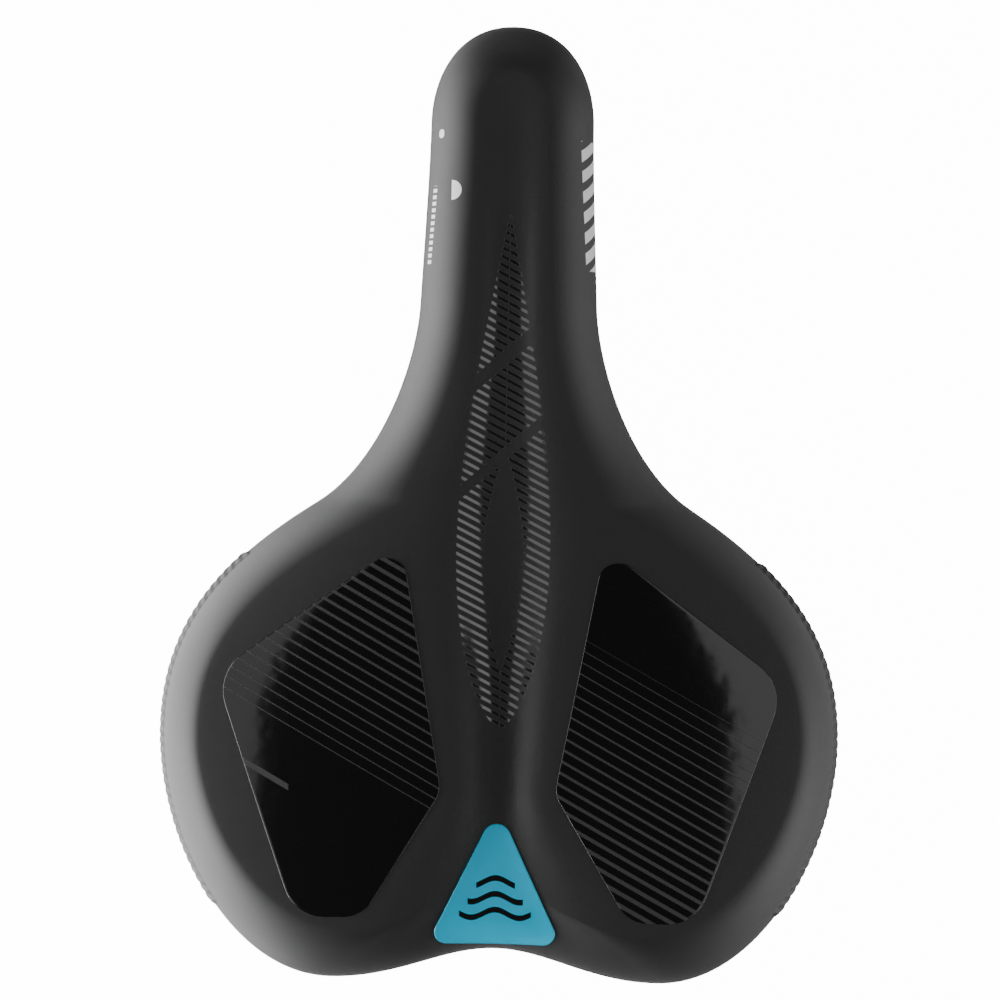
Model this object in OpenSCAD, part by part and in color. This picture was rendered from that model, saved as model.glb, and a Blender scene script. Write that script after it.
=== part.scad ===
// Comfort bicycle saddle: a padded top on a moulded shell that tips about the
// nose end of a wire rail frame and rests on two elastomers at the rear.
// Millimetres. +Y points to the nose, +X to the rider's right, +Z up.
// The origin lies midway between the two rails, at the middle of their clamp length.

/* [Saddle outline] */
// Length from the nose tip to the rear lobes
saddle_l = 280; // [265:1:336]
// Width over the side guards
saddle_w = 200; // [167:1:240]
// Width of the nose
nose_w = 48; // [44:0.5:56]
// Width of the waist, behind the nose
waist_w = 52; // [48:0.5:62]
// Width halfway down the flare from the waist to the wings
flare_w = 110; // [95:1:130]
// Where the nose reaches its full width, behind the tip
nose_back = 29; // [24:0.5:36]
// Where the waist is, behind the tip
waist_back = 82; // [74:1:92]
// Where the middle of the flare is, behind the tip
flare_back = 141; // [130:1:152]
// Where the saddle is widest, ahead of the rear lobes
wing_ahead = 72; // [62:1:82]
// Distance between the two rear lobes
lobe_gap = 96; // [80:1:110]
// Depth of the notch between the rear lobes
notch_depth = 9.5; // [4:0.5:14]
// How far the middle of the saddle sits ahead of the middle of the clamp length
clamp_setback = 12; // [6:1:18]

/* [Saddle height] */
// Height of the middle of the seat above the rails
seat_h = 64; // [62:0.5:72]
// How much higher the rear of the seat is
rear_rise = 13; // [8:0.5:18]
// How much lower the nose is
nose_drop = 3; // [0:0.5:5]
// How much the tail falls again
tail_drop = 3; // [0:0.5:5]
// Depth of the centre channel at the nose
channel_nose = 1.3; // [0:0.1:2.5]
// Depth of the centre channel between the sit pads
channel_rear = 4.6; // [2:0.1:7]

/* [Layers] */
// Thickness of the cover
cover_t = 1.2; // [0.8:0.1:2]
// Thickness of the foam down the sides
side_foam_t = 1.3; // [1:0.1:2.5]
// Thickness of the shell
shell_t = 2.4; // [2:0.1:3.5]
// Depth from the seat to the shell at the nose
nose_depth = 17; // [15:0.5:20]
// Room between the elastomers' cups and the shell's plate over them
cup_room = 0.5; // [0.3:0.1:1.5]
// Height of the cover's lip inside the shell's flange
lip_h = 6; // [4:0.5:8]
// Thickness of the side guards
guard_t = 0.8; // [0.5:0.1:1.2]
// Thickness of the gloss films
film_t = 0.3; // [0.2:0.05:0.5]
// Thickness of the rear badge
badge_t = 1; // [0.6:0.1:1.6]
// Height of the memory pads' floor above the rails
memory_floor = 61; // [60:0.5:64]

/* [Rail wire] */
// Diameter of the rail wire
wire_d = 7; // [5.8:0.1:8.4]
// Distance between the two rails, centre to centre
rail_gap = 44; // [40:0.5:46]
// Straight length that the seatpost clamps
clamp_len = 70; // [55:1:80]
// Radius of the bends, to the wire's centreline
bend_r = 14; // [12:0.5:18]
// Radius of the two bends in the nose
nose_bend_r = 7; // [7:0.5:9]
// Distance between the two nose corners
nose_gap = 23; // [22:0.5:26]
// Height of the nose crossbar, which is the pivot
pivot_h = 33; // [31:0.5:35]
// Distance of the pivot behind the tip
pivot_back = 36; // [33:0.5:40]
// Distance between the wire's rear ends
tail_gap = 50; // [46:0.5:52]

/* [Rear suspension] */
// Distance between the two elastomers
elastomer_gap = 80; // [74:1:90]
// Distance of the elastomers ahead of the rear lobes
elastomer_ahead = 47; // [44:0.5:50]
// Diameter of the elastomers
elastomer_d = 26; // [22:0.1:31.2]
// Height of the elastomers
elastomer_h = 17; // [14.2:0.1:18]
// Depth of the bridge, front to back
bridge_depth = 26; // [24:0.5:30]
// Height of the bridge
bridge_h = 15; // [14:0.5:17]
// Height of the bridge's top above the rails
bridge_top = 28; // [26:0.5:28.5]
// Thickness of the bridge over the wire's sockets
socket_roof = 4.5; // [3.5:0.5:5.5]
// Thickness of the bridge's web over the bolt heads
web_t = 8; // [7:0.5:9]
// Thickness of the cups that hold the elastomers
cup_t = 3; // [2.5:0.5:3.5]
// Diameter of the suspension bolts
bolt_d = 6; // [5:0.5:8]

/* [Hidden] */
$fn = 64;
eps = 0.01;
layer_gap = 0.05;
running_gap = 0.05;
stop_gap = 0.3;

// ---- Places that several pieces share ----
tip_y = saddle_l / 2 + clamp_setback;
rear_y = tip_y - saddle_l;
pivot_y = tip_y - pivot_back;
rail_x = rail_gap / 2;
wire_r = wire_d / 2;
elastomer_x = elastomer_gap / 2;
elastomer_y = rear_y + elastomer_ahead;
tail_h = bridge_top - socket_roof - wire_r;
bridge_bottom = bridge_top - bridge_h;
bridge_front = elastomer_y + bridge_depth / 2;
cup_bottom = bridge_top + elastomer_h + layer_gap;
boss_bottom = cup_bottom + cup_t;
cup_boss_r = 4.5;
// The cups' screws stand clear of the elastomers
cup_screw_offset = elastomer_d / 2 + 7;
cup_screw_ys = [elastomer_y - cup_screw_offset, elastomer_y + cup_screw_offset];
insert_r = 4.5;
insert_l = 8;
insert_end = 1;
thread_gap = 0.02;

// ---- Small helpers ----
function smooth(t) = let (c = max(0, min(1, t))) c * c * (3 - 2 * c);
function mix(a, b, t) = a + (b - a) * t;
function unit(v) = v / norm(v);
// How far y lies behind the tip, as a share of the saddle's length
function back(y) = (tip_y - y) / saddle_l;

// ---- Outline, seen from above: cubic curves through knots on the right-hand side ----
cover_w = saddle_w - 2 * guard_t;
knots = [[0, tip_y], [nose_w / 2, tip_y - nose_back], [waist_w / 2, tip_y - waist_back],
    [flare_w / 2, tip_y - flare_back], [cover_w / 2, rear_y + wing_ahead], [lobe_gap / 2, rear_y],
    [0, rear_y + notch_depth]];
headings = [[1, 0], [0, -1], unit([0.04, -1]), unit([1.56, -1]), [0, -1], [-1, 0], [-1, 0]];
// Length of each curve's two handles, as shares of its chord
handles = [[0.43, 0.39], [0.25, 0.25], [0.28, 0.32], [0.38, 0.40], [0.36, 0.34], [0.40, 0.31]];
curve_steps = [6, 3, 6, 7, 9, 5];
// What changes along the outline, at each knot: the edge's roll, inwards and down, the hem's
// height above the rails, and how far the side leans in from the widest line to the hem
roll_in = [15, 13.5, 13.5, 14, 12, 20, 10];
roll_down = [18, 16, 16, 18, 21, 19, 13];
hem_h = [28, 27, 27, 30, 34, 37, 40];
lean = [4, 1.5, 1.5, 3.5, 7, 6, 3];

function curve(k, t) =
    let (a = knots[k], d = knots[k + 1], chord = norm(d - a),
        b = a + headings[k] * chord * handles[k][0], c = d - headings[k + 1] * chord * handles[k][1],
        s = 1 - t)
    a * s * s * s + b * 3 * s * s * t + c * 3 * s * t * t + d * t * t * t;
function heading(k, t) =
    let (a = knots[k], d = knots[k + 1], chord = norm(d - a),
        b = a + headings[k] * chord * handles[k][0], c = d - headings[k + 1] * chord * handles[k][1],
        s = 1 - t)
    unit((b - a) * s * s + (c - b) * 2 * s * t + (d - c) * t * t);
half = [for (k = [0 : 5], j = [0 : curve_steps[k] - 1]) [k, j / curve_steps[k]], [5, 1]];
half_n = len(half) - 1;
ring_n = 2 * half_n;
// The spine runs up the middle, from the row where the nose is full to one in the rear curve
spine_front = curve_steps[0];
spine_rear = curve_steps[0] + curve_steps[1] + curve_steps[2] + curve_steps[3] + 3;
function half_index(i) = i > half_n ? ring_n - i : i;
function spine_index(i) = min(spine_rear, max(spine_front, half_index(i)));
function along(values, h) = mix(values[h[0]], values[h[0] + 1], smooth(h[1]));

// One record for each point of the outline: edge point, spine point, depth from edge to spine
// square to the edge, roll in and down, hem height, lean and the outward direction
rim = [for (i = [0 : ring_n - 1])
    let (m = half_index(i), side = i > half_n ? -1 : 1, h = half[m], e = curve(h[0], h[1]),
        t = heading(h[0], h[1]), edge = [side * e[0], e[1]], out = [side * -t[1], t[0]],
        sh = half[spine_index(i)], spine = [0, curve(sh[0], sh[1])[1]])
    [edge, spine, (edge - spine) * out, along(roll_in, h), along(roll_down, h), along(hem_h, h),
        along(lean, h), out]];

// ---- Seat surface ----
// Half the saddle's width near a row, as a smooth step from nose to wings. The step goes with the flare:
// it starts this share of the way from the waist to the flare's middle and ends this far behind it.
step_start = mix(waist_back, flare_back, 0.4136);
step_end = flare_back + 60.6;
function row_w(y) = mix(nose_w, cover_w, smooth((tip_y - y - step_start) / (step_end - step_start))) / 2;
function profile(y) = seat_h + rear_rise * smooth((back(y) - 0.4) / 0.45)
    - nose_drop * (1 - smooth(back(y) / 0.35)) - tail_drop * smooth((back(y) - 0.86) / 0.14);
function fall(y) = mix(2, 10, smooth((back(y) - 0.38) / 0.3));
function channel_depth(y) = smooth((back(y) - 0.03) / 0.1)
    * (channel_nose + (channel_rear - channel_nose) * smooth((back(y) - 0.35) / 0.4));
function channel_w(y) = 7 + 7 * exp(-pow((back(y) - 0.53) / 0.15, 2)) + 15 * smooth((back(y) - 0.79) / 0.17);
function seat_z(p) = profile(p[1]) - fall(p[1]) * pow(abs(p[0]) / row_w(p[1]), 3)
    - channel_depth(p[1]) * exp(-pow(abs(p[0]) / channel_w(p[1]), 2.6));
// The shell's plate is crowned. At the sit pads it lies as deep as both ends of the cups let it.
function crown(p) = 4 * pow(p[0] / row_w(p[1]), 2);
cup_ends = [for (side = [-1, 1]) [elastomer_x, elastomer_y + side * (cup_screw_offset + cup_boss_r)]];
pad_depth = min([for (p = cup_ends) profile(p[1]) - crown(p)]) - shell_t - boss_bottom - cup_room;
// Top of the shell's plate
function plate_z(p) = profile(p[1]) - mix(nose_depth, pad_depth, smooth((back(p[1]) - 0.3) / 0.4)) - crown(p);

// A point at depth d inwards from the edge point of record r
function inward(r, d) = r[1] + (r[0] - r[1]) * (1 - d / r[2]);
function rim_z(r, o) = seat_z(inward(r, o)) - r[4];
// How far the side has leaned in at height z
function leaned(r, z) = r[6] * pow(max(0, (rim_z(r, 0) - z) / (rim_z(r, 0) - r[5] - cover_t)), 2);
// The three stretches of a surface that lies at depth o below the seat's outer surface. Where the first
// is longer than even_reach, its rows gather towards the spine.
even_reach = 28;
function inner_pt(r, o, w) =
    let (reach = norm(r[0] - r[1]) * (1 - r[3] / r[2]), even = min(1, even_reach / reach),
        q = r[1] + unit(r[0] - r[1]) * reach * (even * w + (1 - even) * w * w * w))
    [q[0], q[1], seat_z(q) - o];
// The roll is a superellipse; a power of 2 would be an ellipse, and less gives a firmer shoulder
roll_power = 1.7;
function roll_pt(r, o, a) =
    let (q = inward(r, o + (r[3] - o) * (1 - pow(sin(a), 2 / roll_power))))
    [q[0], q[1], seat_z(q) - o - (r[4] - o) * (1 - pow(cos(a), 2 / roll_power))];
function side_pt(r, o, v) =
    let (top = rim_z(r, o), z = top - v * (top - r[5] - cover_t), q = inward(r, o + r[6] * v * v))
    [q[0], q[1], z];
function rim_pt(r, d, z) = let (q = inward(r, d)) [q[0], q[1], z];

inner_rows = [for (k = [0 : 7]) k / 7];
roll_rows = [18, 36, 54, 72, 90];
side_rows = [0.25, 0.5, 0.75, 1];
function ring(f) = [for (r = rim) f(r)];
function top_rings(o) = [for (w = inner_rows) ring(function (r) inner_pt(r, o, w))];
function roll_rings(o) = [for (a = roll_rows) ring(function (r) roll_pt(r, o, a))];
function side_rings(o) = [for (v = side_rows) ring(function (r) side_pt(r, o, v))];
function reversed(list) = [for (i = [len(list) - 1 : -1 : 0]) list[i]];

// ---- Shell surface: plate, corner and flange ----
flange_d = cover_t + side_foam_t + layer_gap;
corner_r = 5;
function plate_rings(g) = [for (w = [0 : 0.25 : 1]) ring(function (r)
    let (q = r[1] + (inward(r, flange_d + corner_r) - r[1]) * w) [q[0], q[1], plate_z(q) + g])];
function corner_z(r) = plate_z(inward(r, flange_d + corner_r));
// Top of the cover's lip, which stays below the corner
function lip_z(r) = min(r[5] + lip_h, corner_z(r) - corner_r - 0.5);
// The flange's face at depth d, from its top to its foot. Its middle ring is level with the top of the
// cover's lip, so that the lip lies flat on it.
function flange_rings(d) = [
    ring(function (r) let (z = corner_z(r) - corner_r) rim_pt(r, d + leaned(r, z), z)),
    ring(function (r) rim_pt(r, d + leaned(r, lip_z(r)), lip_z(r))),
    ring(function (r) let (z = r[5] + cover_t + layer_gap) rim_pt(r, d + leaned(r, z), z))];
// The middle of the corner's bevel, at distance g outside the shell's outer face
bevel = 0.3 * corner_r;
function corner_ring(g) = ring(function (r) rim_pt(r, flange_d - g + bevel, corner_z(r) + g - bevel));

// ---- Solids from rings ----
// The first and last rings lie on the spine, so points that meet there share one vertex. Each quad is
// split along its shorter diagonal, so that surfaces a thickness apart have matching facets.
function ring_vertex(k, i, last) = k * ring_n + ((k == 0 || k == last) ? spine_index(i) : i % ring_n);
module ringed_solid(rings) {
    last = len(rings) - 1;
    points = [for (r = rings) each r];
    faces = [for (k = [0 : last - 1], i = [0 : ring_n - 1])
        let (a = ring_vertex(k, i, last), b = ring_vertex(k, (i + 1) % ring_n, last),
            c = ring_vertex(k + 1, (i + 1) % ring_n, last), d = ring_vertex(k + 1, i, last))
        each norm(points[a] - points[c]) < norm(points[b] - points[d]) ? [[a, c, b], [a, d, c]]
            : [[a, d, b], [b, d, c]]];
    polyhedron(points = points,
        faces = [for (f = faces) if (f[0] != f[1] && f[1] != f[2] && f[2] != f[0]) f]);
}
// A layer over the seat's top and edge, from depth lower to depth upper
module seat_slab(lower, upper) {
    ringed_solid(concat(top_rings(upper), roll_rings(upper), reversed(roll_rings(lower)),
        reversed(top_rings(lower))));
}

// ---- Wire with round bends ----
bend_overlap = 2;
bend_thinning = 0.03;
module straight(a, b, r) {
    v = b - a;
    translate(a) rotate([0, acos(v[2] / norm(v)), atan2(v[1], v[0])]) cylinder(h = norm(v), r = r);
}
function tangent_l(a, b, c, radius) =
    let (cosine = unit(a - b) * unit(c - b)) radius * tan((180 - acos(cosine)) / 2);
module bend(a, b, c, radius, r) {
    t = tangent_l(a, b, c, radius);
    from = b + unit(a - b) * t;
    to = b + unit(c - b) * t;
    angle = 180 - acos(unit(a - b) * unit(c - b));
    centre = b + unit(unit(a - b) + unit(c - b)) * radius / cos(angle / 2);
    ex = unit(from - centre);
    ez = unit(cross(from - centre, to - centre));
    ey = cross(ez, ex);
    // A bend is a hair thinner than the straights and runs a little way into both of them
    multmatrix([[ex[0], ey[0], ez[0], centre[0]], [ex[1], ey[1], ez[1], centre[1]],
        [ex[2], ey[2], ez[2], centre[2]], [0, 0, 0, 1]]) rotate([0, 0, -bend_overlap])
        rotate_extrude(angle = angle + 2 * bend_overlap) translate([radius, 0]) circle(r = r - bend_thinning);
}
module bent_wire(path, radii, r) {
    n = len(path);
    cut = [for (i = [0 : n - 1]) i == 0 || i == n - 1 ? 0
        : tangent_l(path[i - 1], path[i], path[i + 1], radii[i])];
    for (i = [0 : n - 2])
        straight(path[i] + unit(path[i + 1] - path[i]) * cut[i],
            path[i + 1] - unit(path[i + 1] - path[i]) * cut[i + 1], r);
    for (i = [1 : n - 2]) bend(path[i - 1], path[i], path[i + 1], radii[i], r);
}

// ---- Rail frame ----
tail_x = tail_gap / 2;
socket_end = 3;
socket_depth = bridge_depth - socket_end;
tail_end = [tail_x, bridge_front - socket_depth, tail_h];
tail_corner = [tail_x, bridge_front + 6, tail_h];
nose_corner = [nose_gap / 2, pivot_y, pivot_h];
// The legs run in under the nose before they climb into it
nose_knee = [nose_gap / 2, pivot_y - 24, pivot_h - 16];
// The corners stand past the clamp length by what their own bends use up, and a little more
clamp_front = [rail_x, clamp_len / 2, 0];
clamp_rear = [rail_x, -clamp_len / 2, 0];
front_corner = clamp_front + [0, tangent_l(clamp_rear, clamp_front, nose_knee, bend_r) + 1, 0];
rear_corner = clamp_rear - [0, tangent_l(clamp_front, clamp_rear, tail_corner, bend_r) + 1, 0];
half_path = [tail_end, tail_corner, rear_corner, front_corner, nose_knee, nose_corner];
half_radii = [0, bend_r, bend_r, bend_r, bend_r, nose_bend_r];
function mirrored(p) = [-p[0], p[1], p[2]];
wire_path = concat(half_path, [for (p = reversed(half_path)) mirrored(p)]);
wire_radii = concat(half_radii, reversed(half_radii));
crossbar_half = nose_gap / 2 - tangent_l(nose_knee, nose_corner, mirrored(nose_corner), nose_bend_r);

module rail_wire() {
    color("#1b1c1e") bent_wire(wire_path, wire_radii, wire_r);
}

bolt_hole_r = bolt_d / 2 + 1.5;
washer_t = 1.6;
washer_r = bolt_d / 2 + 5;
recess_r = washer_r + 2;
bridge_pad_r = elastomer_d / 2 + 2;
bridge_wall = 4;
pocket_roof = 5;
pocket_half = tail_x - wire_r - bridge_wall;
module both_sides(x) {
    for (side = [-1, 1]) translate([side * x, 0, 0]) children();
}
module rear_bridge() {
    color("#202123") difference() {
        translate([0, elastomer_y, bridge_bottom]) linear_extrude(bridge_h) union() {
            both_sides(elastomer_x) circle(r = bridge_pad_r);
            translate([-elastomer_x, -bridge_depth / 2]) square([elastomer_gap, bridge_depth]);
        }
        // Sockets for the wire's ends, holes and recesses for the bolts, and a lightening pocket
        both_sides(tail_x) translate([0, bridge_front + bridge_pad_r, tail_h]) rotate([90, 0, 0])
            cylinder(h = bridge_pad_r + socket_depth, r = wire_r);
        both_sides(elastomer_x) translate([0, elastomer_y, bridge_bottom - eps]) {
            cylinder(h = bridge_h + 2 * eps, r = bolt_hole_r);
            cylinder(h = bridge_h - web_t + eps, r = recess_r);
        }
        translate([-pocket_half, elastomer_y - bridge_depth / 2 + bridge_wall, bridge_bottom - eps])
            cube([2 * pocket_half, bridge_depth - 2 * bridge_wall, bridge_h - pocket_roof]);
    }
}

module elastomer(side) {
    r = elastomer_d / 2;
    bore_r = bolt_d / 2 + 0.6;
    groove_r = 2;
    groove_d = 1.4;
    color("#3b3d40") translate([side * elastomer_x, elastomer_y, bridge_top]) rotate_extrude()
        difference() {
            translate([bore_r, 0]) square([r - bore_r, elastomer_h]);
            for (k = [1, 2]) translate([r + groove_r - groove_d, k * elastomer_h / 3]) circle(r = groove_r);
        }
}

// ---- Seat ----
module cover() {
    depth = flange_d + shell_t + layer_gap;
    color("#2b2b2d") ringed_solid(concat(
        top_rings(0), roll_rings(0), side_rings(0),
        [ring(function (r) rim_pt(r, r[6] + cover_t, r[5])),
            ring(function (r) rim_pt(r, r[6] + depth + cover_t, r[5])),
            ring(function (r) rim_pt(r, leaned(r, lip_z(r)) + depth + cover_t, lip_z(r))),
            ring(function (r) rim_pt(r, leaned(r, lip_z(r)) + depth, lip_z(r))),
            ring(function (r) rim_pt(r, r[6] + depth, r[5] + cover_t))],
        reversed(side_rings(cover_t)), reversed(roll_rings(cover_t)), reversed(top_rings(cover_t))));
}

module foam_block() {
    ringed_solid(concat(top_rings(cover_t + layer_gap), roll_rings(cover_t + layer_gap),
        side_rings(cover_t + layer_gap),
        reversed(flange_rings(flange_d - layer_gap)), [corner_ring(layer_gap)],
        reversed(plate_rings(layer_gap))));
}

// Corners of the window over each sit pad: share of the half width, distance ahead of the rear lobes
window = [[0.32, 128], [0.847, 90], [0.595, 17], [0.383, 18], [0.161, 57]];
window_corner_r = 6;
// Room around a memory pad in its window, and under it
memory_gap = 0.3;
memory_floor_gap = 0.1;
module window_shape(inset) {
    points = [for (w = window) [w[0] * cover_w / 2, rear_y + w[1]]];
    offset(delta = -inset) offset(r = window_corner_r) offset(r = -window_corner_r) polygon(points);
}
module window_block(side, inset, z, h) {
    translate([0, 0, z]) linear_extrude(h) mirror([side < 0 ? 1 : 0, 0]) window_shape(inset);
}

module foam_pad() {
    color("#d9c9a0") difference() {
        foam_block();
        for (side = [-1, 1]) window_block(side, 0, memory_floor, seat_h);
        bosses(layer_gap);
    }
}

module memory_pad(side) {
    color("#8fb7d6") intersection() {
        foam_block();
        window_block(side, memory_gap, memory_floor + memory_floor_gap, seat_h);
    }
}

module gloss_film(side) {
    color("#0b0b0d") intersection() {
        seat_slab(-layer_gap, -layer_gap - film_t);
        window_block(side, 0, memory_floor, seat_h);
    }
}

// The badge is a triangle with round corners, in the channel just ahead of the notch. These are its sizes
// before the corners are rounded.
badge_l = 42;
badge_w = 40;
badge_corner_r = 4;
badge_y = rear_y + notch_depth + 2.5;
module badge() {
    color("#0fb0cf") intersection() {
        seat_slab(-layer_gap, -layer_gap - badge_t);
        translate([0, badge_y, memory_floor - 10]) linear_extrude(seat_h)
            offset(r = badge_corner_r) offset(r = -badge_corner_r)
            polygon([[-badge_w / 2, 0], [badge_w / 2, 0], [0, badge_l]]);
    }
}

// Side guard: a patch of the side, from just above its widest line to near the hem
guard_first = curve_steps[0] + curve_steps[1] + curve_steps[2] + 2;
guard_last = guard_first + curve_steps[3] + 3;
module side_guard(side) {
    function patch(o) = [for (i = [guard_first : guard_last])
        let (r = rim[side > 0 ? i : ring_n - i])
        [roll_pt(r, o, 72), roll_pt(r, o, 90), side_pt(r, o, 0.25), side_pt(r, o, 0.5), side_pt(r, o, 0.75)]];
    rows = guard_last - guard_first + 1;
    outer = patch(-guard_t);
    inner = patch(-layer_gap);
    points = [for (p = outer) each p, for (p = inner) each p];
    function v(layer, i, j) = layer * rows * 5 + i * 5 + j;
    function quad(a, b, c, d) = norm(points[a] - points[c]) < norm(points[b] - points[d])
        ? [[a, b, c], [a, c, d]] : [[a, b, d], [b, c, d]];
    skin = [for (i = [0 : rows - 2], j = [0 : 3]) each concat(
        quad(v(0, i, j), v(0, i + 1, j), v(0, i + 1, j + 1), v(0, i, j + 1)),
        quad(v(1, i, j), v(1, i, j + 1), v(1, i + 1, j + 1), v(1, i + 1, j)))];
    long = [for (i = [0 : rows - 2]) each concat(
        quad(v(1, i, 0), v(1, i + 1, 0), v(0, i + 1, 0), v(0, i, 0)),
        quad(v(0, i, 4), v(0, i + 1, 4), v(1, i + 1, 4), v(1, i, 4)))];
    ends = [for (j = [0 : 3]) each concat(
        quad(v(1, 0, j + 1), v(1, 0, j), v(0, 0, j), v(0, 0, j + 1)),
        quad(v(1, rows - 1, j), v(1, rows - 1, j + 1), v(0, rows - 1, j + 1), v(0, rows - 1, j)))];
    faces = concat(skin, long, ends);
    color("#3a3b3d") polyhedron(points = points,
        faces = [for (f = faces) side < 0 ? f : [f[0], f[2], f[1]]]);
}

// ---- Shell with its bosses ----
boss_r = 9;
cup_boss_h = 6;
cup_screw_r = 1.5;
cup_screw_bite = 4;
screw_end = 0.5;
nose_boss_w = 2 * crossbar_half - 0.4;
nose_boss_l = 28;
nose_boss_z = pivot_h + wire_r + 3.5;
nose_screw_ys = [pivot_y - wire_r - 5.5, pivot_y + wire_r + 5.5];
nose_screw_r = 2.5;
nose_insert_r = 3.5;
nose_insert_l = 6.5;
// A boss is as tall as it has to be, and always reaches the middle of the plate over its foot
function boss_h(h, p, foot) = max(h, plate_z(p) - shell_t / 2 - foot);
// The shell's bosses, grown by g: one for each bolt, cup screw and the nose bracket
module bosses(g) {
    bolt_h = boss_h(insert_l + insert_end, [elastomer_x, elastomer_y], boss_bottom);
    both_sides(elastomer_x) translate([0, elastomer_y, boss_bottom]) cylinder(h = bolt_h + g, r = boss_r + g);
    for (y = cup_screw_ys) both_sides(elastomer_x) translate([0, y, boss_bottom])
        cylinder(h = boss_h(cup_boss_h, [elastomer_x, y], boss_bottom) + g, r = cup_boss_r + g);
    nose_h = boss_h(nose_insert_l + insert_end, [0, pivot_y], nose_boss_z);
    translate([-nose_boss_w / 2 - g, pivot_y - nose_boss_l / 2 - g, nose_boss_z])
        cube([nose_boss_w + 2 * g, nose_boss_l + 2 * g, nose_h + g]);
}
module base_shell() {
    color("#26272a") difference() {
        union() {
            ringed_solid(concat(plate_rings(0), [corner_ring(0)], flange_rings(flange_d),
                reversed(flange_rings(flange_d + shell_t)), [corner_ring(-shell_t)],
                reversed(plate_rings(-shell_t))));
            bosses(0);
        }
        both_sides(elastomer_x) translate([0, elastomer_y, boss_bottom - eps])
            cylinder(h = insert_l + eps, r = insert_r);
        for (y = cup_screw_ys) both_sides(elastomer_x) translate([0, y, boss_bottom - eps])
            cylinder(h = cup_screw_bite + screw_end, r = cup_screw_r);
        for (y = nose_screw_ys) translate([0, y, nose_boss_z - eps])
            cylinder(h = nose_insert_l + eps, r = nose_insert_r);
    }
}

// Staples through the cover's lip into the flange, one at every second row of the sides and rear. Their
// legs end inside the flange.
staple_w = 4;
staple_t = 0.7;
staple_leg = 0.5 + cover_t + layer_gap + shell_t / 8;
module cover_staples() {
    depth = flange_d + shell_t + layer_gap + cover_t;
    color("#b9bcc0") for (i = [spine_front : 2 : half_n - 1], side = [-1, 1]) {
        r = rim[side > 0 ? i : ring_n - i];
        z = mix(r[5], lip_z(r), 0.6);
        q = inward(r, depth + leaned(r, z));
        translate([q[0] - 0.5 * r[7][0], q[1] - 0.5 * r[7][1], z]) rotate([0, 0, atan2(r[7][1], r[7][0])]) {
            translate([0, -staple_w / 2, -staple_t / 2]) cube([staple_t, staple_w, staple_t]);
            for (y = [-1, 1]) translate([0, (y * (staple_w - staple_t) - staple_t) / 2, -staple_t / 2])
                cube([staple_leg, staple_t, staple_t]);
        }
    }
}

// ---- Nose pivot ----
bracket_l = 26;
plate_t = wire_r + 2.5;
screw_gap = 0.2;
screw_head_h = 2.6;
screw_head_r = 4.2;
nose_socket_d = 1.8;
nose_socket_r = 1.7;
// The hexagonal socket in a screw's head, whose face is at height z
module hex_socket(z, depth, r) {
    translate([0, 0, z - eps]) cylinder(h = depth, r = r, $fn = 6);
}
// Half of the pivot's block, with half of the crossbar's bore
module pivot_half(z, h) {
    difference() {
        translate([-nose_boss_w / 2, pivot_y - bracket_l / 2, z]) cube([nose_boss_w, bracket_l, h]);
        translate([-nose_boss_w, pivot_y, pivot_h]) rotate([0, 90, 0])
            cylinder(h = 2 * nose_boss_w, r = wire_r + running_gap);
        for (y = nose_screw_ys) translate([0, y, z - eps])
            cylinder(h = h + 2 * eps, r = nose_screw_r + screw_gap);
    }
}
module nose_bracket() {
    color("#303236") pivot_half(pivot_h, nose_boss_z - pivot_h);
}
module nose_clamp_plate() {
    color("#3a3d42") pivot_half(pivot_h - plate_t, plate_t);
}
module nose_screws() {
    color("#8d9094") for (y = nose_screw_ys) translate([0, y, pivot_h - plate_t]) difference() {
        union() {
            translate([0, 0, -screw_head_h]) cylinder(h = screw_head_h, r = screw_head_r);
            cylinder(h = nose_boss_z - pivot_h + plate_t + nose_insert_l - 1, r = nose_screw_r);
        }
        hex_socket(-screw_head_h, nose_socket_d, nose_socket_r);
    }
}
module nose_inserts() {
    color("#b08d3c") for (y = nose_screw_ys) translate([0, y, nose_boss_z]) difference() {
        cylinder(h = nose_insert_l, r = nose_insert_r);
        translate([0, 0, -eps]) cylinder(h = nose_insert_l + 2 * eps, r = nose_screw_r + thread_gap);
    }
}

// ---- Rear suspension, seat side ----
cup_wall = 1.6;
cup_rim_h = 3;
cup_gap = 0.4;
cup_head_h = 1.8;
cup_head_r = 3;
slot_l = 3.6;
slot_w = 0.8;
slot_d = 1;
module elastomer_cup(side) {
    inner = elastomer_d / 2 + cup_gap;
    color("#2a2c30") translate([side * elastomer_x, elastomer_y, 0]) difference() {
        union() {
            translate([0, 0, cup_bottom]) cylinder(h = cup_t, r = inner + cup_wall);
            translate([-cup_boss_r, -cup_screw_offset, cup_bottom])
                cube([2 * cup_boss_r, 2 * cup_screw_offset, cup_t]);
            for (y = [-1, 1]) translate([0, y * cup_screw_offset, cup_bottom])
                cylinder(h = cup_t, r = cup_boss_r);
            translate([0, 0, cup_bottom - cup_rim_h]) difference() {
                cylinder(h = cup_rim_h, r = inner + cup_wall);
                translate([0, 0, -eps]) cylinder(h = cup_rim_h + eps, r = inner);
            }
        }
        translate([0, 0, cup_bottom - eps]) cylinder(h = cup_t + 2 * eps, r = bolt_d / 2 + screw_gap);
        for (y = [-1, 1]) translate([0, y * cup_screw_offset, cup_bottom - eps])
            cylinder(h = cup_t + 2 * eps, r = cup_screw_r + screw_gap);
    }
}
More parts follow.
